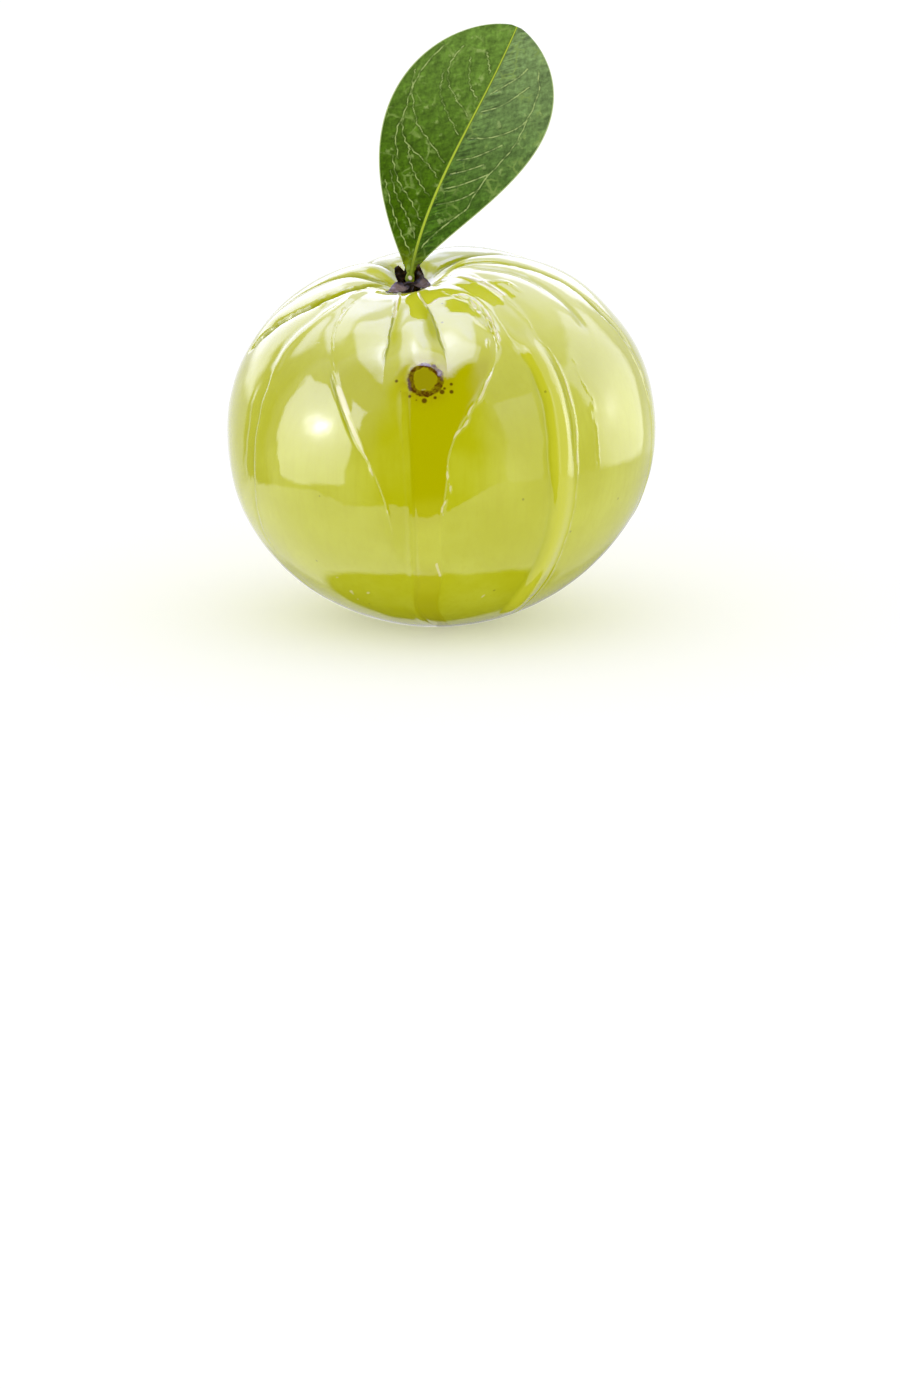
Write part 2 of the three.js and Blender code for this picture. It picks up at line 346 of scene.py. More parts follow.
@dataclass(frozen=True)
class Lobe:
    """One of the fruit's swollen segments, between two lines.

    height is in mm; start and end are polar angles in degrees, and fade is how long both ends take. lean
    moves its crest towards the right line, or to the left one where it is negative.
    """

    left: Line
    right: Line
    height: float
    start: float
    end: float
    fade: float = 9.0
    lean: float = 0.0

    def relief(self, polar: Array, azimuth: Array) -> Array:
        """Returns the height in mm: half a sine wave of a power of the way across from line to line."""
        left = self.left.azimuth(polar)
        spread = (self.right.azimuth(polar) - left) % 360.0
        share = np.clip((azimuth - left) % 360.0 / spread, 0.0, 1.0)
        share = share ** (1.0 + self.lean) if self.lean >= 0.0 else 1.0 - (1.0 - share) ** (1.0 - self.lean)
        return self.height * np.sin(math.pi * share) * window(polar, self.start, self.end, self.fade)


@dataclass(frozen=True)
class Seam:
    """A groove with a bead beside it along a line, such as a crease or the set edge of a syrup sheet.

    Depths, heights, widths and distances aside (positive to the right) are in mm. olive is how dark the
    groove is painted as shade, bare how free of syrup, and the painted glint how pale the bead is painted as
    a highlight, from 0 to 1. ragged is how much the bead breaks up along its length, and wander how far the
    seam strays from its line.
    """

    line: Line
    start: float
    end: float
    groove: float = 0.0
    groove_width: float = 0.3
    groove_aside: float = 0.0
    olive: float = 0.0
    bare: float = 0.0
    bead: float = 0.0
    bead_width: float = 0.2
    bead_aside: float = 0.0
    painted_glint: float = 0.0
    ragged: float = 0.3
    wander: float = 0.08
    fade: float = 4.0


@dataclass(frozen=True)
class Run:
    """A stream of syrup that set between two lines, from the polar angle start to end.

    rise and fall are the shares of its width that its left and right flanks take, and fade is how many
    degrees its ends take. deep is how strongly it darkens the skin: with its thick syrup, and on the lowest
    run as painted shade; clear is how strongly it lights it up.
    """

    left: Line
    right: Line
    height: float
    rise: float
    fall: float
    start: float
    end: float
    deep: float = 0.0
    clear: float = 0.0
    fade: float = 6.0

    def ridge(self, polar: Array, azimuth: Array) -> Array:
        """Returns the share of the height that it has: an S up its left flank and another down its right."""
        left = self.left.azimuth(polar)
        share = turn_gap(azimuth, left) / (self.right.azimuth(polar) - left)
        across = ramp(share, 0.0, self.rise) * (1.0 - ramp(share, 1.0 - self.fall, 1.0))
        return across * window(polar, self.start, self.end, self.fade)


@dataclass(frozen=True)
class Thread:
    """A ridge of syrup along a free path: knots of (polar, azimuth) in degrees, and sizes in mm.

    Its painted glint is how pale it is painted as a highlight and bare how little syrup there is along it,
    from 0 to 1. A flatness over 1 cuts off its round top.
    """

    knots: tuple[tuple[float, float], ...]
    height: float
    width: float
    ragged: float = 0.0
    painted_glint: float = 0.0
    bare: float = 0.0
    flatness: float = 1.5
    steps: int = 40

    def ridge(self, form: "SkinForm", points: Array, breaks: Array) -> Array:
        """Returns the share of the height: a bell of the distance to the path, flattened on top."""
        polar, azimuth = np.array(self.knots).T
        path = smooth_path(form.at(polar, azimuth), self.steps)
        near = np.minimum(1.0, self.flatness * bell(distance_to_path(points, path), self.width))
        return near * (1.0 - self.ragged * breaks)


@dataclass(frozen=True)
class Scar:
    """A corky ring scar on the skin, round a shallow dish, with a scatter of dark dots beside it.

    Sizes are in mm from its middle, which is at a polar angle and an azimuth in degrees. Each dot has a
    polar angle, an azimuth and a radius in mm.
    """

    polar: float = 46.6
    azimuth: float = -1.0
    ring: float = 1.3
    ring_width: float = 0.34
    ring_height: float = 0.035
    dish: float = 1.0
    dish_floor: float = 0.6
    dish_depth: float = 0.005
    wobble: float = 0.08
    wobble_length: float = 1.3
    lumpiness: float = 0.5
    lump_length: float = 0.9
    dots: tuple[tuple[float, float, float], ...] = (
        (46.0, -11.0, 0.20), (49.5, -9.5, 0.12), (51.5, -6.5, 0.18), (53.0, -4.5, 0.14), (53.5, -2.0, 0.26),
        (56.5, -2.2, 0.10), (53.0, 1.5, 0.18), (51.5, 4.0, 0.24), (50.5, 5.0, 0.16), (52.0, 7.0, 0.20),
        (49.5, 7.5, 0.17), (47.0, -3.5, 0.14), (44.5, 0.0, 0.12),
    )

    def centre(self, form: "SkinForm") -> Array:
        """Returns the scar's middle on the bare skin, in the fruit's own frame."""
        return form.at(np.array(self.polar), np.array(self.azimuth))

    def relief(self, form: "SkinForm", points: Array) -> Array:
        """Returns the height in mm: a bell across the ring, less a smooth dish inside it."""
        away = np.linalg.norm(points - self.centre(form), axis=-1)
        wobble = self.wobble * ripple(points, self.wobble_length, seed=17)
        ring = self.ring_height * bell(away - self.ring + wobble, self.ring_width)
        ring = ring * (1.0 + self.lumpiness * ripple(points, self.lump_length, seed=18))
        return ring - self.dish_depth * (1.0 - ramp(away, self.dish_floor, self.dish))


@dataclass(frozen=True)
class SkinForm:
    """The fruit's bare form: the same solid of revolution, leaning and pressed, as its node."""

    radius: float = 19.0
    centre_height: float = 16.2
    top_height: float = 15.4
    bottom_height: float = 16.8
    top_roundness: float = 0.9
    bottom_roundness: float = 1.05
    crown_roundness: float = 0.92
    lean_forward: float = 10.0
    lean_left: float = 8.5
    hollow_x: float = -0.75
    hollow_y: float = 1.2
    hollow_depth: float = 2.0
    hollow_width: float = 3.5
    blossom_depth: float = 0.6
    blossom_width: float = 2.0
    swell: float = 0.03
    swell_azimuth: float = -120.0
    swell_polar: float = 50.0
    swell_spread_round: float = 45.0
    swell_spread_down: float = 25.0

    @property
    def lean(self) -> Array:
        """Returns the matrix that leans the fruit's axis forward and then left."""
        return turning("y", -self.lean_left) @ turning("x", self.lean_forward)

    def crown(self, x: Array, y: Array) -> Array:
        """Returns the upper skin's height over the widest ring: a dome less the bell of the stalk hollow."""
        sine = np.clip(np.hypot(x, y) / self.radius, 0.0, 1.0) ** (1.0 / self.top_roundness)
        dome = self.top_height * np.sqrt(1.0 - sine**2) ** self.crown_roundness
        from_stalk = np.hypot(x - self.hollow_x, y - self.hollow_y)
        return dome - self.hollow_depth * bell(from_stalk, self.hollow_width)

    def at(self, polar: Array, azimuth: Array) -> Array:
        """Returns the bare skin in the fruit's own frame.

        The radius is the sine of the polar angle to a power, the height is a dome above the widest ring
        and a tapered bowl below it, and one bell swells the back left shoulder.
        """
        cosine = np.cos(np.radians(polar))
        upper = cosine > 0.0
        roundness = np.where(upper, self.top_roundness, self.bottom_roundness)
        radius = self.radius * np.sqrt(np.clip(1.0 - cosine**2, 0.0, 1.0)) ** roundness
        x = radius * np.sin(np.radians(azimuth))
        y = -radius * np.cos(np.radians(azimuth))
        bowl = self.bottom_height * cosine + self.blossom_depth * bell(radius, self.blossom_width)
        height = np.where(upper, self.crown(x, y), bowl)
        swell = self.swell * bell(polar - self.swell_polar, self.swell_spread_down)
        swell = swell * bell(np.abs(turn_gap(azimuth, self.swell_azimuth)), self.swell_spread_round)
        return np.stack([x, y, height], -1) * (1.0 + swell)[..., None]

    def stand(self, points: Array) -> Array:
        """Moves points from the fruit's own frame to the part's: leant, and lifted over the flat spot."""
        return points @ self.lean.T + np.array([0.0, 0.0, self.centre_height])

    @property
    def hollow_floor(self) -> Array:
        """Returns the middle of the stalk hollow's floor, in the fruit's own frame."""
        height = self.crown(np.array(self.hollow_x), np.array(self.hollow_y))
        return np.array([self.hollow_x, self.hollow_y, float(height)])


@dataclass(frozen=True)
class Fruit:
    """The glazed fruit: bare skin with furrows, set syrup and slight waviness, on a grid that follows them.

    Each entry of waviness is a height in mm, a wavelength in mm and a seed. The rows are spread evenly but
    for dense_rows, each of which adds its first number to their density between two polar angles, over
    a fade in degrees.
    """

    form: SkinForm = SkinForm()
    scar: Scar = Scar()
    lobes: tuple[Lobe, ...] = (
        Lobe(Line.BACK_LEFT, Line.OUTLINE_LEFT, 0.30, 14.0, 52.0),
        Lobe(Line.OUTLINE_LEFT, Line.FAR_LEFT, 0.26, 15.0, 48.0),
        Lobe(Line.FAR_LEFT, Line.LEFT_FOLD, 0.20, 15.0, 48.0),
        Lobe(Line.LEFT_FOLD, Line.VEIL_LEFT, 0.14, 16.0, 44.0),
        Lobe(Line.VEIL_LEFT, Line.LOBE_LEFT, 0.24, 20.0, 43.0, 5.0),
        Lobe(Line.LOBE_LEFT, Line.LOBE_RIGHT, 0.34, 22.0, 44.0, 7.0),
        Lobe(Line.LOBE_RIGHT, Line.VEIL_RIGHT, 0.24, 22.0, 44.0, 5.0, lean=0.35),
        Lobe(Line.LOBE_RIGHT, Line.RUN_LEFT, 0.16, 9.0, 19.0, 4.0),
        Lobe(Line.VEIL_RIGHT, Line.RUN_LEFT, 0.05, 16.0, 46.0),
        Lobe(Line.RUN_LEFT, Line.RUN_RIGHT, 0.10, 16.0, 40.0),
        Lobe(Line.RUN_RIGHT, Line.SHOULDER, 0.14, 14.0, 44.0),
        Lobe(Line.SHOULDER, Line.EDGE, 0.14, 14.0, 50.0),
        Lobe(Line.EDGE, Line.BACK_RIGHT, 0.24, 14.0, 54.0),
        Lobe(Line.BACK_RIGHT, Line.BACK, 0.34, 14.0, 54.0),
        Lobe(Line.BACK, Line.BACK_LEFT, 0.30, 14.0, 56.0),
    )
    seams: tuple[Seam, ...] = (
        Seam(Line.BACK_LEFT, 8.0, 54.0, groove=0.20, groove_width=0.6),
        Seam(Line.BACK_LEFT, 52.0, 130.0, groove=0.04, groove_aside=0.3, bead=0.10, bead_width=0.28),
        Seam(Line.OUTLINE_LEFT, 9.0, 50.0, groove=0.26, groove_width=0.4, bead=0.05, bead_aside=-0.4,
             ragged=0.6),
        Seam(Line.FAR_LEFT, 10.0, 50.0, groove=0.42, groove_width=0.46, bead=0.12, bead_aside=-0.5,
             ragged=0.8, wander=0.15),
        # The soft ridge on the far left runs down into two thin threads side by side.
        Seam(Line.LEFT_FOLD, 12.0, 48.0, groove=0.05, groove_width=0.5, groove_aside=-0.7, bead=0.20,
             bead_width=0.6, ragged=0.0, fade=6.0),
        Seam(Line.LEFT_FOLD, 50.0, 128.0, groove=0.05, groove_width=0.35, groove_aside=-0.3, bead=0.05,
             bead_width=0.18),
        Seam(Line.LEFT_FOLD, 58.0, 84.0, groove=0.05, groove_width=0.2, groove_aside=-1.9, bead=0.06,
             bead_width=0.2, bead_aside=-1.6, wander=0.2),
        Seam(Line.VEIL_LEFT, 18.0, 44.0, bead=0.05, bead_width=0.14, wander=0.12, ragged=0.5),
        # A pale flake painted as a highlight tapers down the left of the veil.
        Seam(Line.VEIL_LEFT, 45.0, 64.0, groove=0.08, groove_width=0.16, groove_aside=-0.4, olive=0.8,
             wander=0.0),
        Seam(Line.VEIL_LEFT, 47.5, 57.0, bead=0.06, bead_width=0.42, bead_aside=0.1, painted_glint=1.0, ragged=0.0,
             wander=0.0, fade=3.0),
        Seam(Line.VEIL_LEFT, 56.0, 68.0, bead=0.06, bead_width=0.24, painted_glint=1.0, ragged=0.2, wander=0.0),
        Seam(Line.VEIL_LEFT, 68.0, 88.0, bead=0.08, bead_width=0.15, bead_aside=0.05, painted_glint=0.9, ragged=1.0),
        Seam(Line.LOBE_LEFT, 12.0, 38.0, groove=0.02, groove_width=0.13, olive=0.9, bead=0.03, bead_width=0.1,
             bead_aside=-0.15, ragged=1.0),
        Seam(Line.LOBE_LEFT, 17.0, 34.0, groove=0.05, groove_width=0.6, groove_aside=0.5, bare=0.75,
             fade=5.0),
        Seam(Line.CENTRE, 50.0, 140.0, groove=0.03, groove_width=0.2, groove_aside=0.32, bead=0.05,
             bead_width=0.34, bead_aside=-0.1, ragged=0.1, wander=0.02),
        Seam(Line.LOBE_RIGHT, 12.0, 38.0, groove=0.02, groove_width=0.13, olive=0.9, bead=0.03,
             bead_width=0.1, bead_aside=0.15, ragged=1.0),
        Seam(Line.LOBE_RIGHT, 17.0, 33.0, groove=0.05, groove_width=0.45, groove_aside=-0.3, olive=0.5,
             bare=1.0, fade=5.0),
        Seam(Line.VEIL_RIGHT, 14.0, 40.0, groove=0.03, groove_aside=-0.2, bead=0.09, bead_width=0.14,
             ragged=0.6, wander=0.2),
        # The veil's corner is crackled: two strands of flakes cross there.
        Seam(Line.VEIL_RIGHT, 25.0, 37.0, groove=0.08, groove_width=0.16, groove_aside=0.3, bead=0.20,
             bead_width=0.2, ragged=0.9, wander=0.45, fade=3.0),
        Seam(Line.VEIL_RIGHT, 28.0, 40.0, bead=0.16, bead_width=0.15, bead_aside=-0.5, ragged=0.9,
             wander=-0.5, fade=3.0),
        # Pale glints are painted as highlights along the beads of the veil's right edge.
        Seam(Line.VEIL_RIGHT, 49.0, 57.0, groove=0.04, groove_width=0.2, groove_aside=-0.3, bead=0.10,
             bead_width=0.19, bead_aside=0.15, painted_glint=1.0, ragged=0.2, wander=0.15, fade=2.5),
        Seam(Line.VEIL_RIGHT, 58.0, 70.0, bead=0.10, bead_width=0.17, painted_glint=1.0, ragged=1.0, wander=0.2),
        Seam(Line.VEIL_RIGHT, 68.0, 90.0, bead=0.07, bead_width=0.13, painted_glint=0.8, ragged=1.0, wander=0.2),
        Seam(Line.RUN_LEFT, 22.0, 54.0, bead=0.10, bead_width=0.5, bead_aside=0.2, ragged=0.0, wander=0.1,
             fade=8.0),
        Seam(Line.RUN_LEFT, 52.0, 124.0, groove=0.03, groove_width=0.35, groove_aside=0.25, olive=0.2,
             ragged=0.0),
        Seam(Line.RUN_RIGHT, 12.0, 36.0, bead=0.10, bead_width=0.32, ragged=0.2, wander=0.1),
        Seam(Line.RUN_RIGHT, 34.0, 52.0, bead=0.04, bead_width=0.14, ragged=0.8, wander=0.3),
        Seam(Line.RUN_RIGHT, 50.0, 84.0, groove=0.03, groove_width=0.24, groove_aside=-0.5, olive=0.5,
             bare=0.9, bead=0.04, bead_width=0.3, bead_aside=-1.1, ragged=0.0, wander=0.04, fade=7.0),
        # Pale glints are painted as highlights along the run's right edge.
        Seam(Line.RUN_RIGHT, 54.0, 90.0, bead=0.06, bead_width=0.2, painted_glint=0.55, ragged=0.5, wander=0.04),
        Seam(Line.RUN_RIGHT, 52.0, 148.0, bead=0.06, bead_width=0.15, painted_glint=0.45, ragged=0.2, wander=0.04),
        Seam(Line.GLINTS, 58.0, 88.0, bead=0.09, bead_width=0.16, ragged=0.9, wander=0.2),
        Seam(Line.SHOULDER, 12.0, 50.0, groove=0.08, groove_width=0.6, bead=0.04, bead_aside=0.6, ragged=0.5),
        Seam(Line.EDGE, 9.0, 66.0, groove=0.24, groove_width=0.4, bead=0.10, bead_width=0.2,
             bead_aside=-0.45, ragged=0.4),
        Seam(Line.EDGE, 62.0, 120.0, groove=0.05, groove_width=0.3, bead=0.10, bead_width=0.3,
             bead_aside=-0.4),
        Seam(Line.BACK_RIGHT, 8.0, 56.0, groove=0.28, groove_width=0.5),
        Seam(Line.BACK_RIGHT, 54.0, 134.0, groove=0.04, groove_aside=-0.3, bead=0.10, bead_width=0.3),
        Seam(Line.BACK, 8.0, 56.0, groove=0.22, groove_width=0.6),
        Seam(Line.BACK, 52.0, 126.0, groove=0.04, groove_aside=-0.3, bead=0.10, bead_width=0.28),
    )
    runs: tuple[Run, ...] = (
        Run(Line.VEIL_LEFT, Line.VEIL_RIGHT, 0.07, 0.04, 0.03, 42.0, 90.0, deep=0.30),
        Run(Line.CENTRE, Line.VEIL_RIGHT, 0.03, 0.12, 0.12, 45.0, 90.0, deep=1.0),
        Run(Line.CENTRE, Line.VEIL_RIGHT, 0.03, 0.12, 0.12, 88.0, 116.0, clear=0.3),
        # Painted shade: low on the front, the skin is painted the deep syrup colour as shade.
        Run(Line.CENTRE, Line.VEIL_RIGHT, 0.03, 0.12, 0.12, 108.0, 150.0, deep=0.9),
        Run(Line.RUN_LEFT, Line.RUN_RIGHT, 0.38, 0.38, 0.55, 43.0, 140.0, clear=1.0),
    )
    threads: tuple[Thread, ...] = (
        # A broad band of syrup curls round the calyx and down to the right; a thin one edges a lobe.
        # They and the threads after them are painted pale as highlights.
        Thread(((8.0, 7.5), (4.5, 50.0), (4.5, 88.0), (7.0, 88.0), (10.5, 72.0), (15.0, 63.0), (20.0, 58.5),
                (25.0, 55.5)), 0.12, 0.26, painted_glint=0.9),
        Thread(((17.5, 7.5), (16.0, 18.5), (17.0, 29.5), (18.5, 37.5), (23.5, 38.5), (30.0, 35.5),
                (36.0, 32.0)), 0.10, 0.13, 0.6, painted_glint=1.0),
        Thread(((19.0, 38.0), (26.0, 33.5), (30.0, 34.0), (35.0, 33.0), (40.0, 31.0)), 0.08, 0.12, 0.8,
               painted_glint=1.0),
        Thread(((7.5, -34.0), (11.5, -24.0), (17.5, -19.0), (21.0, -17.5)), 0.06, 0.17, 0.3, painted_glint=0.9),
        Thread(((7.0, 0.0), (12.5, 2.0), (18.0, 6.0)), 0.04, 0.1, 0.4, painted_glint=0.9),
        Thread(((27.0, -51.5), (22.0, -58.5), (17.5, -71.5), (13.0, -86.5)), 0.06, 0.12, 0.8, painted_glint=0.6),
        # Small scratches low on the front, painted pale as highlights.
        Thread(((118.0, -35.5), (120.5, -34.5), (122.5, -35.0)), 0.03, 0.1, 0.5, painted_glint=0.8),
        Thread(((118.0, -29.0), (119.5, -26.0)), 0.03, 0.1, 0.4, painted_glint=0.8),
        Thread(((106.0, -5.2), (111.0, -5.0)), 0.03, 0.12, 0.5, painted_glint=0.8),
        Thread(((122.0, 6.5), (125.0, 6.5)), 0.03, 0.1, 0.5, painted_glint=0.8),
        Thread(((111.5, -38.0), (112.0, -36.0)), 0.03, 0.1, 0.4, painted_glint=0.7),
        # Three patches in the stalk hollow are bare of syrup: left of the calyx, right of it and behind.
        Thread(((15.5, -136.0), (13.0, -137.0), (9.5, -137.0)), 0.0, 0.5, bare=1.0),
        Thread(((4.0, 86.5), (7.5, 120.0), (11.0, 124.0), (15.0, 129.0)), 0.0, 0.4, bare=1.0),
        Thread(((12.5, 174.0), (10.5, 166.0), (9.0, 155.0)), 0.0, 0.4, bare=1.0),
        # One low thread crosses each shoulder.
        Thread(((16.0, 58.0), (19.0, 67.0), (23.0, 70.0), (28.0, 66.0)), 0.08, 0.2, 0.6),
        Thread(((8.0, -96.0), (14.0, -100.0), (19.0, -90.0), (25.0, -79.0)), 0.08, 0.2, 0.5),
    )
    waviness: tuple[tuple[float, float, int], ...] = ((0.02, 9.0, 3), (0.006, 2.6, 5))
    stray_length: float = 2.4
    break_length: float = 1.1
    full_crease: float = 0.3
    deep_flatness: float = 1.6
    clear_flatness: float = 3.0
    front_columns: int = 42
    back_columns: int = 22
    bunching: float = 0.75
    rows: int = 178
    pole_gap: float = 1.6
    thin_rows: float = 0.5
    dense_rows: tuple[tuple[float, float, float, float], ...] = (
        (0.3, 8.0, 118.0, 14.0),
        (0.7, 10.0, 60.0, 8.0),
    )
    sunk_stub: float = 0.5

    def steps(self, line: Line) -> Array:
        """Returns where the columns after a line stand from 0 to 1, bunched at it and at the next line."""
        behind = (Line.BACK_LEFT, Line.OUTLINE_LEFT, Line.SHOULDER, Line.EDGE, Line.BACK_RIGHT, Line.BACK)
        columns = self.back_columns if line in behind else self.front_columns
        even = np.arange(columns) / columns
        return even - self.bunching * np.sin(2.0 * math.pi * even) / (2.0 * math.pi)

    @property
    def polar_rows(self) -> Array:
        """Returns the rows' polar angles: close together from the crown down to the scar, wide underneath."""
        angle = np.linspace(self.pole_gap, 180.0 - self.pole_gap, 2000)
        density = self.thin_rows + sum(extra * window(angle, *band) for extra, *band in self.dense_rows)
        total = np.cumsum(density)
        return np.interp(np.linspace(total[0], total[-1], self.rows), total, angle)

    def columns(self, polar: Array) -> Array:
        """Returns the grid's azimuths, one row for each polar angle; its columns run along every line."""
        lines = [line.azimuth(polar) for line in Line]
        lines.append(lines[0] + 360.0)
        gaps = [left[:, None] + (right - left)[:, None] * self.steps(line)
                for line, left, right in zip(Line, lines[:-1], lines[1:])]
        return np.concatenate(gaps, 1)

    def relief(self, polar: Array, azimuth: Array, points: Array) -> tuple[Array, dict[str, Array]]:
        """Works out how far the glazed surface stands off the bare skin.

        Lobes, threads and runs each give their own part. A seam is a narrow bell pressed in and another
        raised. All fade at their ends.

        Returns:
            The height in mm, and marks from 0 to 1: how deep its colour, from thick syrup and, low on the
            front, as painted shade; how clear its syrup; how deep in a crease, where shade is painted; how
            bare of syrup; and how strongly a pale glint is painted as a highlight.
        """
        around = np.hypot(points[..., 0], points[..., 1]) * math.radians(1.0)
        height = self.scar.relief(self.form, points)
        for amount, length, seed in self.waviness:
            height += amount * ripple(points, length, seed)
        deep, clear, crease, bare, painted_glint = np.zeros((5, *height.shape))
        stray = ripple(points, self.stray_length, seed=8)
        breaks = ramp(ripple(points, self.break_length, seed=11), -0.6, 0.7)

        for lobe in self.lobes:
            height += lobe.relief(polar, azimuth)
        for seam in self.seams:
            aside = turn_gap(azimuth, seam.line.azimuth(polar)) * around + seam.wander * stray
            along = window(polar, seam.start, seam.end, seam.fade)
            pressed = bell(aside - seam.groove_aside, seam.groove_width) * along
            raised = bell(aside - seam.bead_aside, seam.bead_width) * along
            height += seam.bead * raised * (1.0 - seam.ragged * breaks) - seam.groove * pressed
            # Painted shade: a groove is marked to be painted darker, fully once it is full_crease deep or as
            # far as its olive says.
            crease = np.maximum(crease, pressed * max(seam.olive, min(1.0, seam.groove / self.full_crease)))
            bare = np.maximum(bare, pressed * seam.bare)
            # Painted highlight: the bead is marked to be painted pale as a glint, broken where it breaks up.
            painted_glint = np.maximum(painted_glint, seam.painted_glint * raised * (1.0 - seam.ragged * breaks))
        for thread in self.threads:
            ridge = thread.ridge(self.form, points, breaks)
            height += thread.height * ridge
            bare = np.maximum(bare, thread.bare * ridge)
            # Painted highlight: a thread is marked to be painted pale as a glint.
            painted_glint = np.maximum(painted_glint, thread.painted_glint * ridge)
        for run in self.runs:
            ridge = run.ridge(polar, azimuth)
            height += run.height * ridge
            deep = np.maximum(deep, run.deep * np.minimum(1.0, self.deep_flatness * ridge))
            clear = np.maximum(clear, run.clear * np.minimum(1.0, self.clear_flatness * ridge))
        return height, {"deep": deep, "clear": clear, "crease": crease, "bare": bare, "painted_glint": painted_glint}

    def build(self) -> bpy.types.Object:
        """Builds the fruit and dresses it in its glazed skin."""
        azimuth = self.columns(self.polar_rows)
        polar = np.broadcast_to(self.polar_rows[:, None], azimuth.shape)
        bare = self.form.at(polar, azimuth)
        height, marks = self.relief(polar, azimuth, bare)

        down = np.gradient(bare, axis=0)
        along = np.roll(bare, -1, 1) - np.roll(bare, 1, 1)
        normal = np.cross(down, along)
        normal /= np.linalg.norm(normal, axis=-1, keepdims=True)
        normal *= np.sign((normal * bare).sum(-1).mean())
        skin = bare + normal * height[..., None]

        floor = self.form.hollow_floor
        rings = self.form.stand(skin)
        start = self.form.stand(floor - np.array([0.0, 0.0, self.sunk_stub]))
        end = self.form.stand(np.array([0.0, 0.0, self.form.blossom_depth - self.form.bottom_height]))
        rings[..., 2] = np.maximum(rings[..., 2], 0.0)
        end[2] = 0.0
        piece = closed_tube("glazed_fruit", rings, start, end, marks)
        finish_piece(piece, GlazedSkin().material(self), "fruit_skin", "fruit")
        return piece


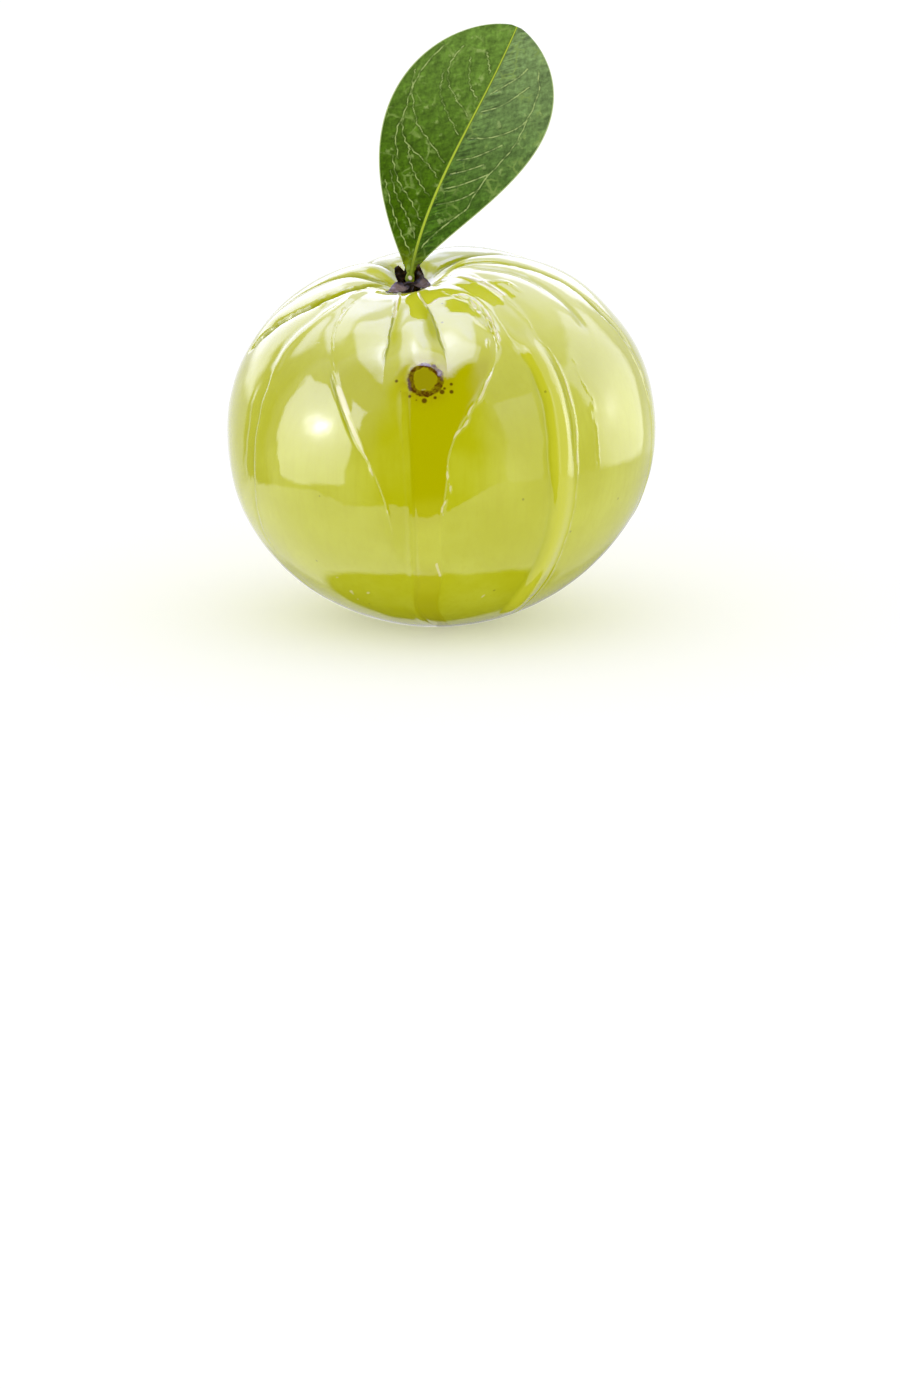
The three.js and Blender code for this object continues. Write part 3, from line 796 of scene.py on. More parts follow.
@dataclass(frozen=True)
class GlazedSkin:
    """Amla skin under set sugar syrup.

    The skin is pale, slightly see-through yellow-green with faint fibres, a few dark specks and one corky
    ring scar. The syrup over it is clear and smooth like wet glass, with small bubbles and drag marks, and
    it deepens the colour to olive yellow wherever it is thick. Light and shade are painted into the colour
    too: the crown paler as if lit from above, pale glints along beads and threads as highlights, and the
    creases and the lowest front darker as shade.
    """

    skin: str = "#BABC10"
    pale: str = "#C2C52C"
    deep: str = "#B3B100"
    # Painted light: the top of the skin is painted this paler colour, as if lit from above.
    crown: str = "#D8DA34"
    clear: str = "#C9CA2E"
    # Painted shade: the creases are painted this darker olive.
    crease_shade: str = "#949A08"
    # Painted highlights: beads and threads are painted this pale glint colour.
    painted_glint: str = "#DAD592"
    speck: str = "#6E6A0C"
    cork: str = "#553406"
    dish: str = "#9B9408"
    stain: str = "#9C8A0A"
    cloud_mm: float = 5.0
    fibre_mm: float = 0.5
    speck_mm: float = 2.2
    wave_mm: float = 1.2
    bubble_mm: float = 3.0
    # The painted top light fades in between these heights, in mm.
    top_light_from: float = 24.0
    top_light_to: float = 31.0
    stray_mm: float = 0.8
    stain_reach: float = 2.2
    dry_coat: float = 0.2

    def spots(self, tree: bpy.types.NodeTree, place: Source, size_mm: float, radius: float,
              share: float) -> Source:
        """Adds scattered round spots and returns their mask.

        Each cell of size_mm holds one spot, radius times as large; only the given share of them is kept.
        """
        cells = add_node(tree, "TexVoronoi", {"Vector": place, "Scale": pattern_scale(size_mm)})
        spot = add_node(tree, "MapRange",
                        {0: cells.outputs["Distance"], 1: radius * 0.6, 2: radius, 3: 1.0, 4: 0.0},
                        **SMOOTH)
        chance = add_node(tree, "SeparateColor", {0: cells.outputs["Color"]})
        kept = add_node(tree, "Math", {0: chance, 1: share}, operation="LESS_THAN")
        return add_node(tree, "Math", {0: spot, 1: kept}, operation="MULTIPLY")

    def scarred(self, tree: bpy.types.NodeTree, place: Source, ground: Source, fruit: Fruit) -> Source:
        """Paints the ring scar, its dish, its stain and its dots over the ground; returns the colour."""
        scar = fruit.scar
        middle = fruit.form.stand(scar.centre(fruit.form)) * MM
        away = add_node(tree, "VectorMath", {0: place, 1: tuple(middle)}, operation="DISTANCE")
        stray = add_node(tree, "TexNoise", {"Vector": place, "Scale": pattern_scale(0.7), "Detail": 3.0})
        away = add_node(tree, "Math", {0: away, 1: self.stray_mm / 2.0 * MM}, operation="SUBTRACT")
        away = add_node(tree, "Math", {0: stray, 1: self.stray_mm * MM, 2: away}, operation="MULTIPLY_ADD")

        def within(start: float, end: float, fade: float) -> Source:
            """Returns the mask of the annulus between two distances, in mm."""
            inner = add_node(tree, "MapRange", {0: away, 1: (start - fade) * MM, 2: (start + fade) * MM},
                             **SMOOTH)
            outer = add_node(tree, "MapRange",
                             {0: away, 1: (end - fade) * MM, 2: (end + fade) * MM, 3: 1.0, 4: 0.0},
                             **SMOOTH)
            return add_node(tree, "Math", {0: inner, 1: outer}, operation="MULTIPLY")

        patchy = add_node(tree, "MapRange", {0: stray, 1: 0.3, 2: 0.7, 3: 0.15, 4: 0.7}, **SMOOTH)
        stain = add_node(tree, "Math", {0: within(-1.0, self.stain_reach, 1.0), 1: patchy},
                         operation="MULTIPLY")
        ground = add_node(tree, "Mix", {0: stain, 6: ground, 7: linear_colour(self.stain)}, **COLOURS)
        ground = add_node(tree, "Mix",
                          {0: within(-1.0, scar.dish, 0.15), 6: ground, 7: linear_colour(self.dish)},
                          **COLOURS)
        wear = add_node(tree, "TexNoise", {"Vector": place, "Scale": pattern_scale(0.4), "Detail": 3.0})
        worn = add_node(tree, "MapRange", {0: wear, 1: 0.35, 2: 0.6, 3: 0.65, 4: 1.0}, **SMOOTH)
        ring = add_node(tree, "Math", {0: within(scar.ring - 0.25, scar.ring + 0.28, 0.1), 1: worn},
                        operation="MULTIPLY")
        ground = add_node(tree, "Mix", {0: ring, 6: ground, 7: linear_colour(self.cork)}, **COLOURS)
        for polar, azimuth, radius in scar.dots:
            spot = tuple(fruit.form.stand(fruit.form.at(np.array(polar), np.array(azimuth))) * MM)
            gap = add_node(tree, "VectorMath", {0: place, 1: spot}, operation="DISTANCE")
            dot = add_node(tree, "MapRange",
                           {0: gap, 1: radius * 0.7 * MM, 2: radius * 1.3 * MM, 3: 0.9, 4: 0.0}, **SMOOTH)
            ground = add_node(tree, "Mix", {0: dot, 6: ground, 7: linear_colour(self.cork)}, **COLOURS)
        return ground

    def material(self, fruit: Fruit) -> bpy.types.Material:
        """Returns the material, with its patterns in the fruit's own mm."""
        material, tree = new_material("syrup_glazed_amla_skin")
        place = add_node(tree, "TexCoord").outputs["Object"]
        deep, clear, crease, bare, painted_glint = [
            add_node(tree, "Attribute", attribute_name=name).outputs["Fac"]
            for name in ("deep", "clear", "crease", "bare", "painted_glint")]

        cloud = add_node(tree, "TexNoise",
                         {"Vector": place, "Scale": pattern_scale(self.cloud_mm), "Detail": 4.0})
        clouded = add_node(tree, "MapRange", {0: cloud, 1: 0.35, 2: 0.7}, **SMOOTH)
        ground = add_node(tree, "Mix",
                          {0: clouded, 6: linear_colour(self.skin), 7: linear_colour(self.pale)}, **COLOURS)
        # Faint fibres run from stalk to blossom end, so the noise is stretched along the fruit's axis.
        lean = (math.radians(-fruit.form.lean_forward), math.radians(fruit.form.lean_left), 0.0)
        axis = add_node(tree, "Mapping", {"Vector": place, "Rotation": lean, "Scale": (1.0, 1.0, 0.1)})
        fibre = add_node(tree, "TexNoise", {"Vector": axis, "Scale": pattern_scale(self.fibre_mm)})
        threaded = add_node(tree, "MapRange", {0: fibre, 1: 0.42, 2: 0.75, 3: 0.0, 4: 0.24}, **SMOOTH)
        # Painted light: the skin is painted paler towards the crown, as if lit from above.
        height = add_node(tree, "SeparateXYZ", {0: place}).outputs["Z"]
        painted_top_light = add_node(tree, "MapRange",
                           {0: height, 1: self.top_light_from * MM, 2: self.top_light_to * MM, 3: 0.0, 4: 0.7},
                           **SMOOTH)
        # One speck in four shows, half as dark as its colour.
        specks = self.spots(tree, place, self.speck_mm, 0.07, 0.25)
        faint = add_node(tree, "Math", {0: specks, 1: 0.5}, operation="MULTIPLY")
        # Among these layers, the crown is painted paler as if lit from above and the creases darker as shade.
        layers = ((threaded, self.deep), (painted_top_light, self.crown), (deep, self.deep), (clear, self.clear),
                  (crease, self.crease_shade), (faint, self.speck))
        for share, colour in layers:
            ground = add_node(tree, "Mix", {0: share, 6: ground, 7: linear_colour(colour)}, **COLOURS)
        ground = self.scarred(tree, place, ground, fruit)
        # Painted highlights: pale glints are painted along the beads and threads.
        painted_glint_share = add_node(tree, "MapRange", {0: painted_glint, 1: 0.3, 2: 0.6, 3: 0.0, 4: 0.9}, **SMOOTH)
        ground = add_node(tree, "Mix", {0: painted_glint_share, 6: ground, 7: linear_colour(self.painted_glint)}, **COLOURS)

        # Bubbles, in half of their cells, and drag marks roughen the glaze by hundredths of a mm.
        bubbles = self.spots(tree, place, self.bubble_mm, 0.07, 0.5)
        drag = add_node(tree, "TexNoise",
                        {"Vector": place, "Scale": pattern_scale(self.wave_mm), "Detail": 3.0})
        wave = add_node(tree, "Math", {0: bubbles, 1: 1.5, 2: drag}, operation="MULTIPLY_ADD")
        glaze = add_node(tree, "Bump", {"Strength": 0.1, "Distance": 0.1 * MM, "Height": wave})
        # There is little syrup in the creases and on the bare patches.
        dry = add_node(tree, "Math", {0: crease, 1: bare}, operation="MAXIMUM")
        coated = add_node(tree, "MapRange", {0: dry, 1: 0.2, 2: 0.9, 3: 1.0, 4: self.dry_coat}, **SMOOTH)
        surface = add_node(tree, "BsdfPrincipled", {
            "Base Color": ground,
            "Roughness": 0.42,
            "IOR": 1.45,
            "Specular IOR Level": 0.0,
            "Coat Weight": coated,
            "Coat Roughness": 0.03,
            "Coat IOR": 1.5,
            "Coat Normal": glaze,
        })
        add_node(tree, "OutputMaterial", {"Surface": surface})
        return material


# Stalk, calyx and leaf -------------------------------------------------------------------------


@dataclass(frozen=True)
class DryCalyx:
    """Dried calyx and stalk: thin dark brown papery tissue, wetted with syrup.

    The tissue is nearly black with rusty fibres, and an old lobe's upper side is painted greyish inside a
    dark edge, a painted reflection of its glossy syrup. The syrup on it gives small sharp glints.
    """

    dark: str = "#150B03"
    rusty: str = "#40260F"
    # Painted reflection: the grey that the lobes' upper sides are painted with, for the gloss of their syrup.
    bloom: str = "#79675F"
    fibre_mm: float = 0.25
    fibre_depth: float = 0.08

    def material(self) -> bpy.types.Material:
        """Returns the material."""
        material, tree = new_material("dried_calyx_tissue")
        place = add_node(tree, "TexCoord").outputs["Object"]
        fibre = add_node(tree, "TexNoise",
                         {"Vector": place, "Scale": pattern_scale(self.fibre_mm), "Detail": 5.0})
        rust = add_node(tree, "MapRange", {0: fibre, 1: 0.45, 2: 0.75}, **SMOOTH)
        colour = add_node(tree, "Mix", {0: rust, 6: linear_colour(self.dark), 7: linear_colour(self.rusty)},
                          **COLOURS)
        # Painted reflection: each lobe's upper side is painted grey where its syrup would mirror the bright
        # room.
        upper = add_node(tree, "Attribute", attribute_name="bloom").outputs["Fac"]
        threaded = add_node(tree, "MapRange", {0: fibre, 1: 0.25, 2: 0.5, 3: 0.75, 4: 1.0}, **SMOOTH)
        bloom = add_node(tree, "Math", {0: upper, 1: threaded}, operation="MULTIPLY")
        colour = add_node(tree, "Mix", {0: bloom, 6: colour, 7: linear_colour(self.bloom)}, **COLOURS)
        # The tissue is rough and the film of syrup over it nearly smooth.
        grain, film = [
            add_node(tree, "Bump", {"Strength": strength, "Distance": self.fibre_depth * MM, "Height": fibre})
            for strength in (0.6, 0.1)]
        surface = add_node(tree, "BsdfPrincipled", {
            "Base Color": colour,
            "Roughness": 0.6,
            "Specular IOR Level": 0.15,
            "Normal": grain,
            "Coat Weight": 0.15,
            "Coat Roughness": 0.14,
            "Coat IOR": 1.4,
            "Coat Normal": film,
        })
        add_node(tree, "OutputMaterial", {"Surface": surface})
        return material


@dataclass(frozen=True)
class StalkStub:
    """The short woody cup that the leaf grows from: a turned profile with worn ribs round it."""

    radius: float = 0.9
    bore: float = 0.62
    seat: float = 0.9
    height: float = 1.1
    wall_floor: float = 0.35
    ribs: int = 9
    rib_depth: float = 0.05
    wear: float = 0.025
    wear_length: float = 0.5
    chipping: float = 0.06
    columns: int = 96
    steps: int = 14

    def profile(self) -> Array:
        """Returns the cup's outline as radius and height, from under its seat round to inside its bore."""
        bottom, top = -self.seat, self.height
        corners = np.array([
            (self.radius * 0.8, bottom), (self.radius, bottom + 0.25), (self.radius * 0.92, 0.1),
            (self.radius * 0.97, top - 0.25), (self.radius * 0.9, top - 0.04), (self.bore + 0.08, top),
            (self.bore, top - 0.15), (self.bore, bottom + self.wall_floor),
        ])
        return smooth_path(corners, len(corners) * self.steps)

    def build(self, fruit: Fruit, material: bpy.types.Material) -> bpy.types.Object:
        """Builds the stub on the hollow's floor; its radius waves a little with each rib and with wear."""
        profile = self.profile()
        angle = np.linspace(0.0, 2.0 * math.pi, self.columns, endpoint=False)
        waves = 0.5 * np.cos(self.ribs * angle) + 0.5 * np.sin(4.0 * angle + 1.0)
        radius = profile[:, :1] + self.rib_depth * waves
        height = profile[:, 1:] + self.chipping * np.sin(3.0 * angle + 0.7) * ramp(profile[:, 1:], 0.3, 1.0)
        rings = np.stack([radius * np.cos(angle), radius * np.sin(angle), height], -1)
        rings = rings + (self.wear * ripple(rings, self.wear_length, seed=21))[..., None]
        ends = [np.array([0.0, 0.0, profile[place, 1]]) for place in (0, -1)]
        stand = [fruit.form.stand(part + fruit.form.hollow_floor) for part in (rings, *ends)]
        piece = closed_tube("woody_stalk_stub", *stand, {"bloom": np.zeros(rings.shape[:2])})
        finish_piece(piece, material, "stalk", "stalk_stub")
        return piece


@dataclass(frozen=True)
class CalyxLobe:
    """One pointed papery lobe of the calyx: it runs out from the stub, cupped, crumpled and curled.

    azimuth, rise and roll, which turns it about its own length, are in degrees and the rest in mm; cup is
    how much its edges turn up, the painted gloss how grey its upper side is painted as a reflection, from 0
    to 1, and a fullness under 1 moves its widest place towards the root. It starts inside the stub: length
    counts on from inner_reach.
    """

    node: str
    azimuth: float
    rise: float
    roll: float
    length: float
    width: float
    curl: float
    cup: float = 0.5
    bloom: float = 0.0
    start: float = 0.75
    inner_reach: float = 1.2
    lift: float = 1.0
    root_width: float = 1.0
    tip_width: float = 0.06
    fullness: float = 0.75
    thickness: float = 0.16
    crumple: float = 0.07
    crumple_length: float = 0.8
    rows: int = 44
    half_columns: int = 22

    def build(self, fruit: Fruit, material: bpy.types.Material) -> bpy.types.Object:
        """Builds the lobe.

        Along it from 0 to 1, its width swells as a sine and narrows to the tip; across it from -1 to 1,
        its height is a parabola. The upper and lower faces meet at the edge, where its thickness, the
        root of one less the distance across to the sixth power, is nothing.
        """
        along = np.linspace(0.0, 1.0, self.rows)[:, None]
        turn = np.linspace(0.0, 2.0 * math.pi, 2 * self.half_columns, endpoint=False)[None, :]
        across = np.cos(turn)
        side = np.sign(np.sin(turn) + 1e-9)
        root = self.root_width + (self.tip_width - self.root_width) * along
        half = 0.5 * (root + (self.width - self.root_width) * np.sin(math.pi * along**self.fullness))
        thick = 0.5 * self.thickness * (1.0 - 0.5 * along) * np.sqrt(1.0 - across**6) * side
        x = along * (self.length + self.inner_reach - self.start) + 0.0 * across
        y = across * half
        z = self.curl * along**2 + self.cup * y**2 + thick
        points = np.stack(np.broadcast_arrays(x, y, z), -1)
        crumple = ripple(points * np.array([1.0, 1.0, 0.0]) + self.azimuth, self.crumple_length, seed=31)
        points[..., 2] += self.crumple * crumple * ramp(along, 0.1, 0.6)
        turn = turning("y", -self.rise) @ turning("x", self.roll)
        points = points @ turn.T + np.array([self.start, 0.0, self.lift])
        points = points @ turning("z", self.azimuth - 90.0).T + fruit.form.hollow_floor
        rings = fruit.form.stand(points)
        # Painted reflection: the upper side is marked to be painted grey inside its edge.
        bloom = self.bloom * (side > 0.0) * (1.0 - np.abs(across) ** 5) * window(along, 0.15, 0.82, 0.08)
        name = self.node.replace("calyx", "dry_calyx")
        piece = closed_tube(name, rings, rings[0].mean(0), rings[-1].mean(0), {"bloom": bloom})
        finish_piece(piece, material, "calyx", self.node)
        return piece


@dataclass(frozen=True)
class BladeHalf:
    """One half of the blade: its greatest width in mm, how it tapers to the base and rounds to the tip."""

    width: float
    taper: float
    roundness: float

    def at(self, along: Array) -> Array:
        """Returns the half width: a power of the way along, times a power of its logarithm."""
        peak = math.exp(-self.roundness / self.taper)
        held = np.clip(along, 1e-6, 1.0 - 1e-9)
        return self.width * (held / peak) ** self.taper * (np.log(held) / math.log(peak)) ** self.roundness


@dataclass(frozen=True)
class Leaf:
    """The leaf: a folded, curling blade with a midrib, veins and rim, on a petiole down into the stub.

    A vein is knots of (share of the half width, share of the length), from the midrib out, and each of the
    lumps is a height, a wavelength and a seed; lengths are in mm and angles in degrees.
    """

    length: float = 24.4
    lean_back: float = 12.0
    lean_right: float = 22.9
    left: BladeHalf = BladeHalf(7.2, 1.31, 0.65)
    right: BladeHalf = BladeHalf(6.4, 1.54, 0.66)
    bow: float = 0.86
    bow_fall: float = 2.1
    curl: float = 1.6
    fold: float = 0.12
    thickness: float = 0.26
    petiole_radius: float = 0.28
    tip_width: float = 0.12
    base_height: float = 1.0
    foot_width: float = 0.45
    foot_fade: float = 0.08
    petiole_bottom: float = -0.25
    rib_width: float = 0.12
    rib_height: float = 0.10
    vein_width: float = 0.12
    vein_wander: float = 0.06
    trough_depth: float = 0.05
    trough_place: float = 0.55
    trough_width: float = 0.3
    lumps: tuple[tuple[float, float, int], ...] = ((0.03, 2.2, 41), (0.012, 0.9, 42))
    wave_height: float = 0.10
    wave_length: float = 12.0
    vein_depth: float = 0.035
    rim_width: float = 0.16
    petiole_rows: int = 24
    blade_rows: int = 300
    front_columns: int = 150
    back_columns: int = 60
    veins: tuple[tuple[tuple[float, float], ...], ...] = (
        ((0.0, 0.08), (-0.55, 0.13), (-0.80, 0.21), (-0.90, 0.30)),
        ((0.0, 0.13), (-0.43, 0.21), (-0.70, 0.27), (-0.80, 0.34)),
        ((0.0, 0.20), (-0.35, 0.26), (-0.67, 0.32), (-0.79, 0.39)),
        ((0.0, 0.30), (-0.28, 0.335), (-0.50, 0.39), (-0.60, 0.45)),
        ((0.0, 0.37), (-0.25, 0.41), (-0.66, 0.46), (-0.77, 0.53)),
        ((0.0, 0.43), (-0.35, 0.49), (-0.60, 0.54), (-0.82, 0.64), (-0.93, 0.71)),
        ((0.0, 0.54), (-0.30, 0.61), (-0.50, 0.67), (-0.63, 0.75)),
        ((0.0, 0.62), (-0.43, 0.70), (-0.62, 0.78), (-0.68, 0.86)),
        ((0.0, 0.69), (-0.24, 0.74), (-0.45, 0.83)),
        ((0.0, 0.78), (-0.30, 0.87)),
        ((-0.70, 0.39), (-0.80, 0.47), (-0.78, 0.56), (-0.83, 0.64), (-0.87, 0.74), (-0.90, 0.83)),
        ((0.0, 0.09), (0.40, 0.16), (0.62, 0.24), (0.75, 0.315)),
        ((0.0, 0.28), (0.30, 0.31), (0.54, 0.35), (0.66, 0.40)),
        ((0.0, 0.34), (0.35, 0.39), (0.62, 0.46)),
        ((0.0, 0.40), (0.27, 0.44), (0.48, 0.49)),
        ((0.0, 0.46), (0.29, 0.50), (0.55, 0.58)),
        ((0.0, 0.55), (0.33, 0.585), (0.58, 0.645), (0.70, 0.70)),
        ((0.0, 0.65), (0.28, 0.71), (0.57, 0.81)),
        ((0.0, 0.71), (0.34, 0.82), (0.50, 0.87)),
        ((0.75, 0.32), (0.64, 0.43), (0.68, 0.54), (0.70, 0.61), (0.69, 0.69), (0.74, 0.80), (0.72, 0.88)),
    )

    def half_width(self, share: Array, along: Array) -> Array:
        """Returns the half width on the side that the share across is on, never less than the foot's."""
        foot = self.foot_width * (1.0 - ramp(along, 0.0, self.foot_fade))
        least = np.maximum(foot, self.petiole_radius + (self.tip_width - self.petiole_radius) * along)
        return np.maximum(least, np.where(share < 0.0, self.left.at(along), self.right.at(along)))

    def vein_marks(self, across: Array, along: Array) -> Array:
        """Returns how near each point is to a vein, from 0 to 1, in the flattened blade.

        The mark is a bell of the distance to the nearest vein, which fades towards the vein's end.
        """
        flat = np.stack([across, along * self.length], -1)
        marks = np.zeros_like(across)
        for vein in self.veins:
            knots = np.array(vein)
            half = self.half_width(knots[:, 0], knots[:, 1])
            path = smooth_path(np.stack([knots[:, 0] * half, knots[:, 1] * self.length], -1), 24)
            # Each vein wanders a little, and its first knot's place gives the phase.
            phase = np.arange(1, len(path) - 1) * 2.3 + knots[0, 1] * 40.0
            path[1:-1] += self.vein_wander * np.sin(phase)[:, None]
            marks = np.maximum(marks, bell(distance_to_path(flat, path), self.vein_width))
        return marks

    def place(self, fruit: Fruit, points: Array) -> Array:
        """Moves points from the blade's own frame, +Z along it and -Y its upper side, to the part's."""
        turn = turning("x", -self.lean_back) @ turning("y", self.lean_right)
        return points @ turn.T + self.base(fruit)

    def base(self, fruit: Fruit) -> Array:
        """Returns where the blade begins, over the middle of the stub."""
        return fruit.form.stand(fruit.form.hollow_floor + np.array([0.0, 0.0, self.base_height]))

    def build(self, fruit: Fruit) -> bpy.types.Object:
        """Builds the leaf.

        Each ring goes across the upper side from the left rim to the right one and back underneath. The
        blade bows to the left, curls back as the square of the way along and folds towards the midrib.
        """
        rows = self.petiole_rows + self.blade_rows
        row = np.arange(rows)[:, None] - self.petiole_rows
        along = np.clip(row / (self.blade_rows - 1.0), 0.0, 0.997)
        petiole = np.clip(-row / self.petiole_rows, 0.0, 1.0)
        front = -np.cos(np.linspace(0.0, math.pi, self.front_columns, endpoint=False))
        back = np.cos(np.linspace(0.0, math.pi, self.back_columns, endpoint=False))
        share = np.sign(np.concatenate([front, back])) * np.abs(np.concatenate([front, back])) ** 1.15
        upper = np.concatenate([np.ones(len(front)), -np.ones(len(back))])[None, :]
        share, along, petiole = np.broadcast_arrays(share[None, :], along, petiole)
        half = self.half_width(share, along)
        half = half + (self.petiole_radius - half) * ramp(petiole, 0.0, 0.6)
        across = share * half

        vein = self.vein_marks(across, along) * ramp(np.abs(across), 0.1, 0.5)
        rib = bell(across, self.rib_width * (1.0 - 0.45 * along)) * (1.0 - 0.35 * along)
        rim = bell((1.0 - np.abs(share)) * half, self.rim_width) * ramp(half, 0.5, 1.2)
        edge = np.sqrt(np.clip(1.0 - np.abs(share) ** 10, 0.0, 1.0))
        on_blade = ramp(half, 0.4, 1.2)
        thick = self.thickness / 2.0 + self.rib_height * rib * np.where(upper > 0.0, 1.0, 1.6)
        thick = thick + (self.petiole_radius - thick) * (1.0 - on_blade)
        trough = self.trough_depth * bell(np.abs(across) - self.trough_place, self.trough_width)
        trough = trough * on_blade * (1.0 - along)
        relief = np.where(upper > 0.0, -self.vein_depth * vein - trough, self.vein_depth * vein)
        flat = np.stack([across, along * self.length, np.zeros_like(across)], -1)
        for height, length, seed in self.lumps:
            relief = relief + height * ripple(flat, length, seed)
        relief = relief * on_blade

        peak = 1.0 / (1.0 + self.bow_fall)
        bow = self.bow * along * (1.0 - along) ** self.bow_fall / (peak * (1.0 - peak) ** self.bow_fall)
        wave = self.wave_height * ripple(flat, self.wave_length, seed=43) * on_blade
        middle = self.curl * along**2 - self.fold * np.abs(across) + wave
        skin = middle - upper * (thick * edge + relief * edge)
        foot = fruit.form.stand(fruit.form.hollow_floor + np.array([0.0, 0.0, self.petiole_bottom]))
        turn = turning("x", -self.lean_back) @ turning("y", self.lean_right)
        spine = (foot - self.base(fruit)) @ turn
        rings = np.stack([across - bow, skin, along * self.length], -1) + petiole[..., None] * spine
        rings = self.place(fruit, rings)
        marks = {"rib": rib, "vein": vein, "rim": rim, "across": across, "along": along * self.length,
                 "under": (1.0 - upper) / 2.0 + 0.0 * across}
        piece = closed_tube("waxy_leaf", rings, rings[0].mean(0), rings[-1].mean(0), marks)
        finish_piece(piece, WaxyLeaf(self.length).material(), "leaf", "leaf")
        return piece


@dataclass(frozen=True)
class WaxyLeaf:
    """A leathery evergreen leaf, length mm long, with a waxy upper side.

    The wax gives a soft greyish sheen, more on the right half and towards the tip, over deep green that is
    grained and pitted like fine leather; there the sheen is also painted into the green. Each lump is painted
    lighter on its upper left and darker on its lower right as light and shade, and pale flecks on the
    crumples are painted highlights. The midrib is yellow-green between olive edges painted as shade, and the
    veins are thin pale lines in a shallow groove with painted shade round them. A white glint is painted on
    the foot as the highlight of a syrup bead. Fine strokes comb out from the midrib on the right. The
    underside is paler and duller.
    """

    length: float
    left_base: str = "#466900"
    # The tip colours and the right half's carry painted sheen over the leaf's own green.
    left_tip_with_sheen: str = "#6E9139"
    right_base_with_sheen: str = "#4B7119"
    right_tip_with_sheen: str = "#829E60"
    net: str = "#86A050"
    vein: str = "#B4C87C"
    rib: str = "#B2C63C"
    # Olive painted as shade beside the midrib.
    rib_edge_shade: str = "#5F7426"
    rim: str = "#B3C585"
    foot: str = "#86940F"
    under: str = "#8CA45C"
    # White of the highlight painted on the foot as a syrup bead's glint.
    bead: str = "#F2E6E6"
    net_mm: float = 1.3
    net_bend_mm: float = 0.35
    net_wave_mm: float = 0.6
    grain_mm: float = 0.35
    lump_mm: float = 0.9
    blotch_mm: float = 1.8
    # Size of the pale flecks painted as highlights on the crumples.
    crumple_glint_mm: float = 0.9
    patch_mm: float = 0.6
    comb_mm: float = 0.24
    comb_length_mm: float = 1.6
    comb_reach_mm: float = 2.2
    comb_slant: float = 40.0

    def comb(self, tree: bpy.types.NodeTree, across: Source, along: Source) -> Source:
        """Adds the slanting strokes that comb out from the midrib and returns them, darker below 0.

        They are a noise in the flattened blade, stretched along the slant.
        """
        c = math.cos(math.radians(self.comb_slant))
        s = math.sin(math.radians(self.comb_slant))
        down = add_node(tree, "Math", {0: along, 1: s / self.comb_length_mm}, operation="MULTIPLY")
        down = add_node(tree, "Math", {0: across, 1: c / self.comb_length_mm, 2: down},
                        operation="MULTIPLY_ADD")
        over = add_node(tree, "Math", {0: along, 1: c / self.comb_mm}, operation="MULTIPLY")
        over = add_node(tree, "Math", {0: across, 1: -s / self.comb_mm, 2: over}, operation="MULTIPLY_ADD")
        place = add_node(tree, "CombineXYZ", {0: down, 1: over})
        stroke = add_node(tree, "TexNoise", {"Vector": place, "Scale": 1.0, "Detail": 2.0})
        shade = add_node(tree, "MapRange", {0: stroke, 1: 0.35, 2: 0.65, 3: -0.8, 4: 0.35}, **SMOOTH)
        reach = add_node(tree, "MapRange",
                         {0: across, 1: self.comb_reach_mm * 0.3, 2: self.comb_reach_mm, 3: 1.0, 4: 0.25},
                         **SMOOTH)
        on_right = add_node(tree, "MapRange", {0: across, 1: 0.1, 2: 0.3, 3: 0.15, 4: 1.0}, **SMOOTH)
        strength = add_node(tree, "Math", {0: reach, 1: on_right}, operation="MULTIPLY")
        return add_node(tree, "Math", {0: shade, 1: strength}, operation="MULTIPLY")

    def material(self) -> bpy.types.Material:
        """Returns the material; the leaf's own marks say where its parts are."""
        material, tree = new_material("waxy_evergreen_leaf")
        place = add_node(tree, "TexCoord").outputs["Object"]

        def shaded(colour: Source, factor: Source) -> Source:
            """Returns the colour times a factor."""
            grey = add_node(tree, "CombineColor", {0: factor, 1: factor, 2: factor})
            return add_node(tree, "Mix", {0: 1.0, 6: colour, 7: grey}, blend_type="MULTIPLY", **COLOURS)

        across, along, rib, vein, rim, under = [
            add_node(tree, "Attribute", attribute_name=name).outputs["Fac"]
            for name in ("across", "along", "rib", "vein", "rim", "under")]
        grain, broken, patch = [
            add_node(tree, "TexNoise", {"Vector": place, "Scale": pattern_scale(size), "Detail": 3.0})
            for size in (self.grain_mm, self.blotch_mm, self.patch_mm)]
        # Painted sheen: the green is painted greyer on the right half and paler towards the tip, where the
        # wax shines.
        up = add_node(tree, "MapRange", {0: along, 1: 0.2 * self.length, 2: self.length}, **SMOOTH)
        left = add_node(tree, "Mix",
                        {0: up, 6: linear_colour(self.left_base), 7: linear_colour(self.left_tip_with_sheen)},
                        **COLOURS)
        right = add_node(tree, "Mix",
                         {0: up, 6: linear_colour(self.right_base_with_sheen), 7: linear_colour(self.right_tip_with_sheen)},
                         **COLOURS)
        on_right = add_node(tree, "MapRange", {0: across, 1: -0.15, 2: 0.25}, **SMOOTH)
        green = add_node(tree, "Mix", {0: on_right, 6: left, 7: right}, **COLOURS)
        at_foot = add_node(tree, "MapRange", {0: along, 1: 0.0, 2: 3.4, 3: 0.9, 4: 0.0}, **SMOOTH)
        green = add_node(tree, "Mix", {0: at_foot, 6: green, 7: linear_colour(self.foot)}, **COLOURS)
        comb = self.comb(tree, across, along)
        # The grain, the blotches, the lumps and the comb each darken and lighten the green.
        grained = add_node(tree, "MapRange", {0: grain, 1: 0.3, 2: 0.7, 3: 0.84, 4: 1.15}, **SMOOTH)
        blotched = add_node(tree, "MapRange", {0: broken, 1: 0.3, 2: 0.7, 3: 0.92, 4: 1.08}, **SMOOTH)
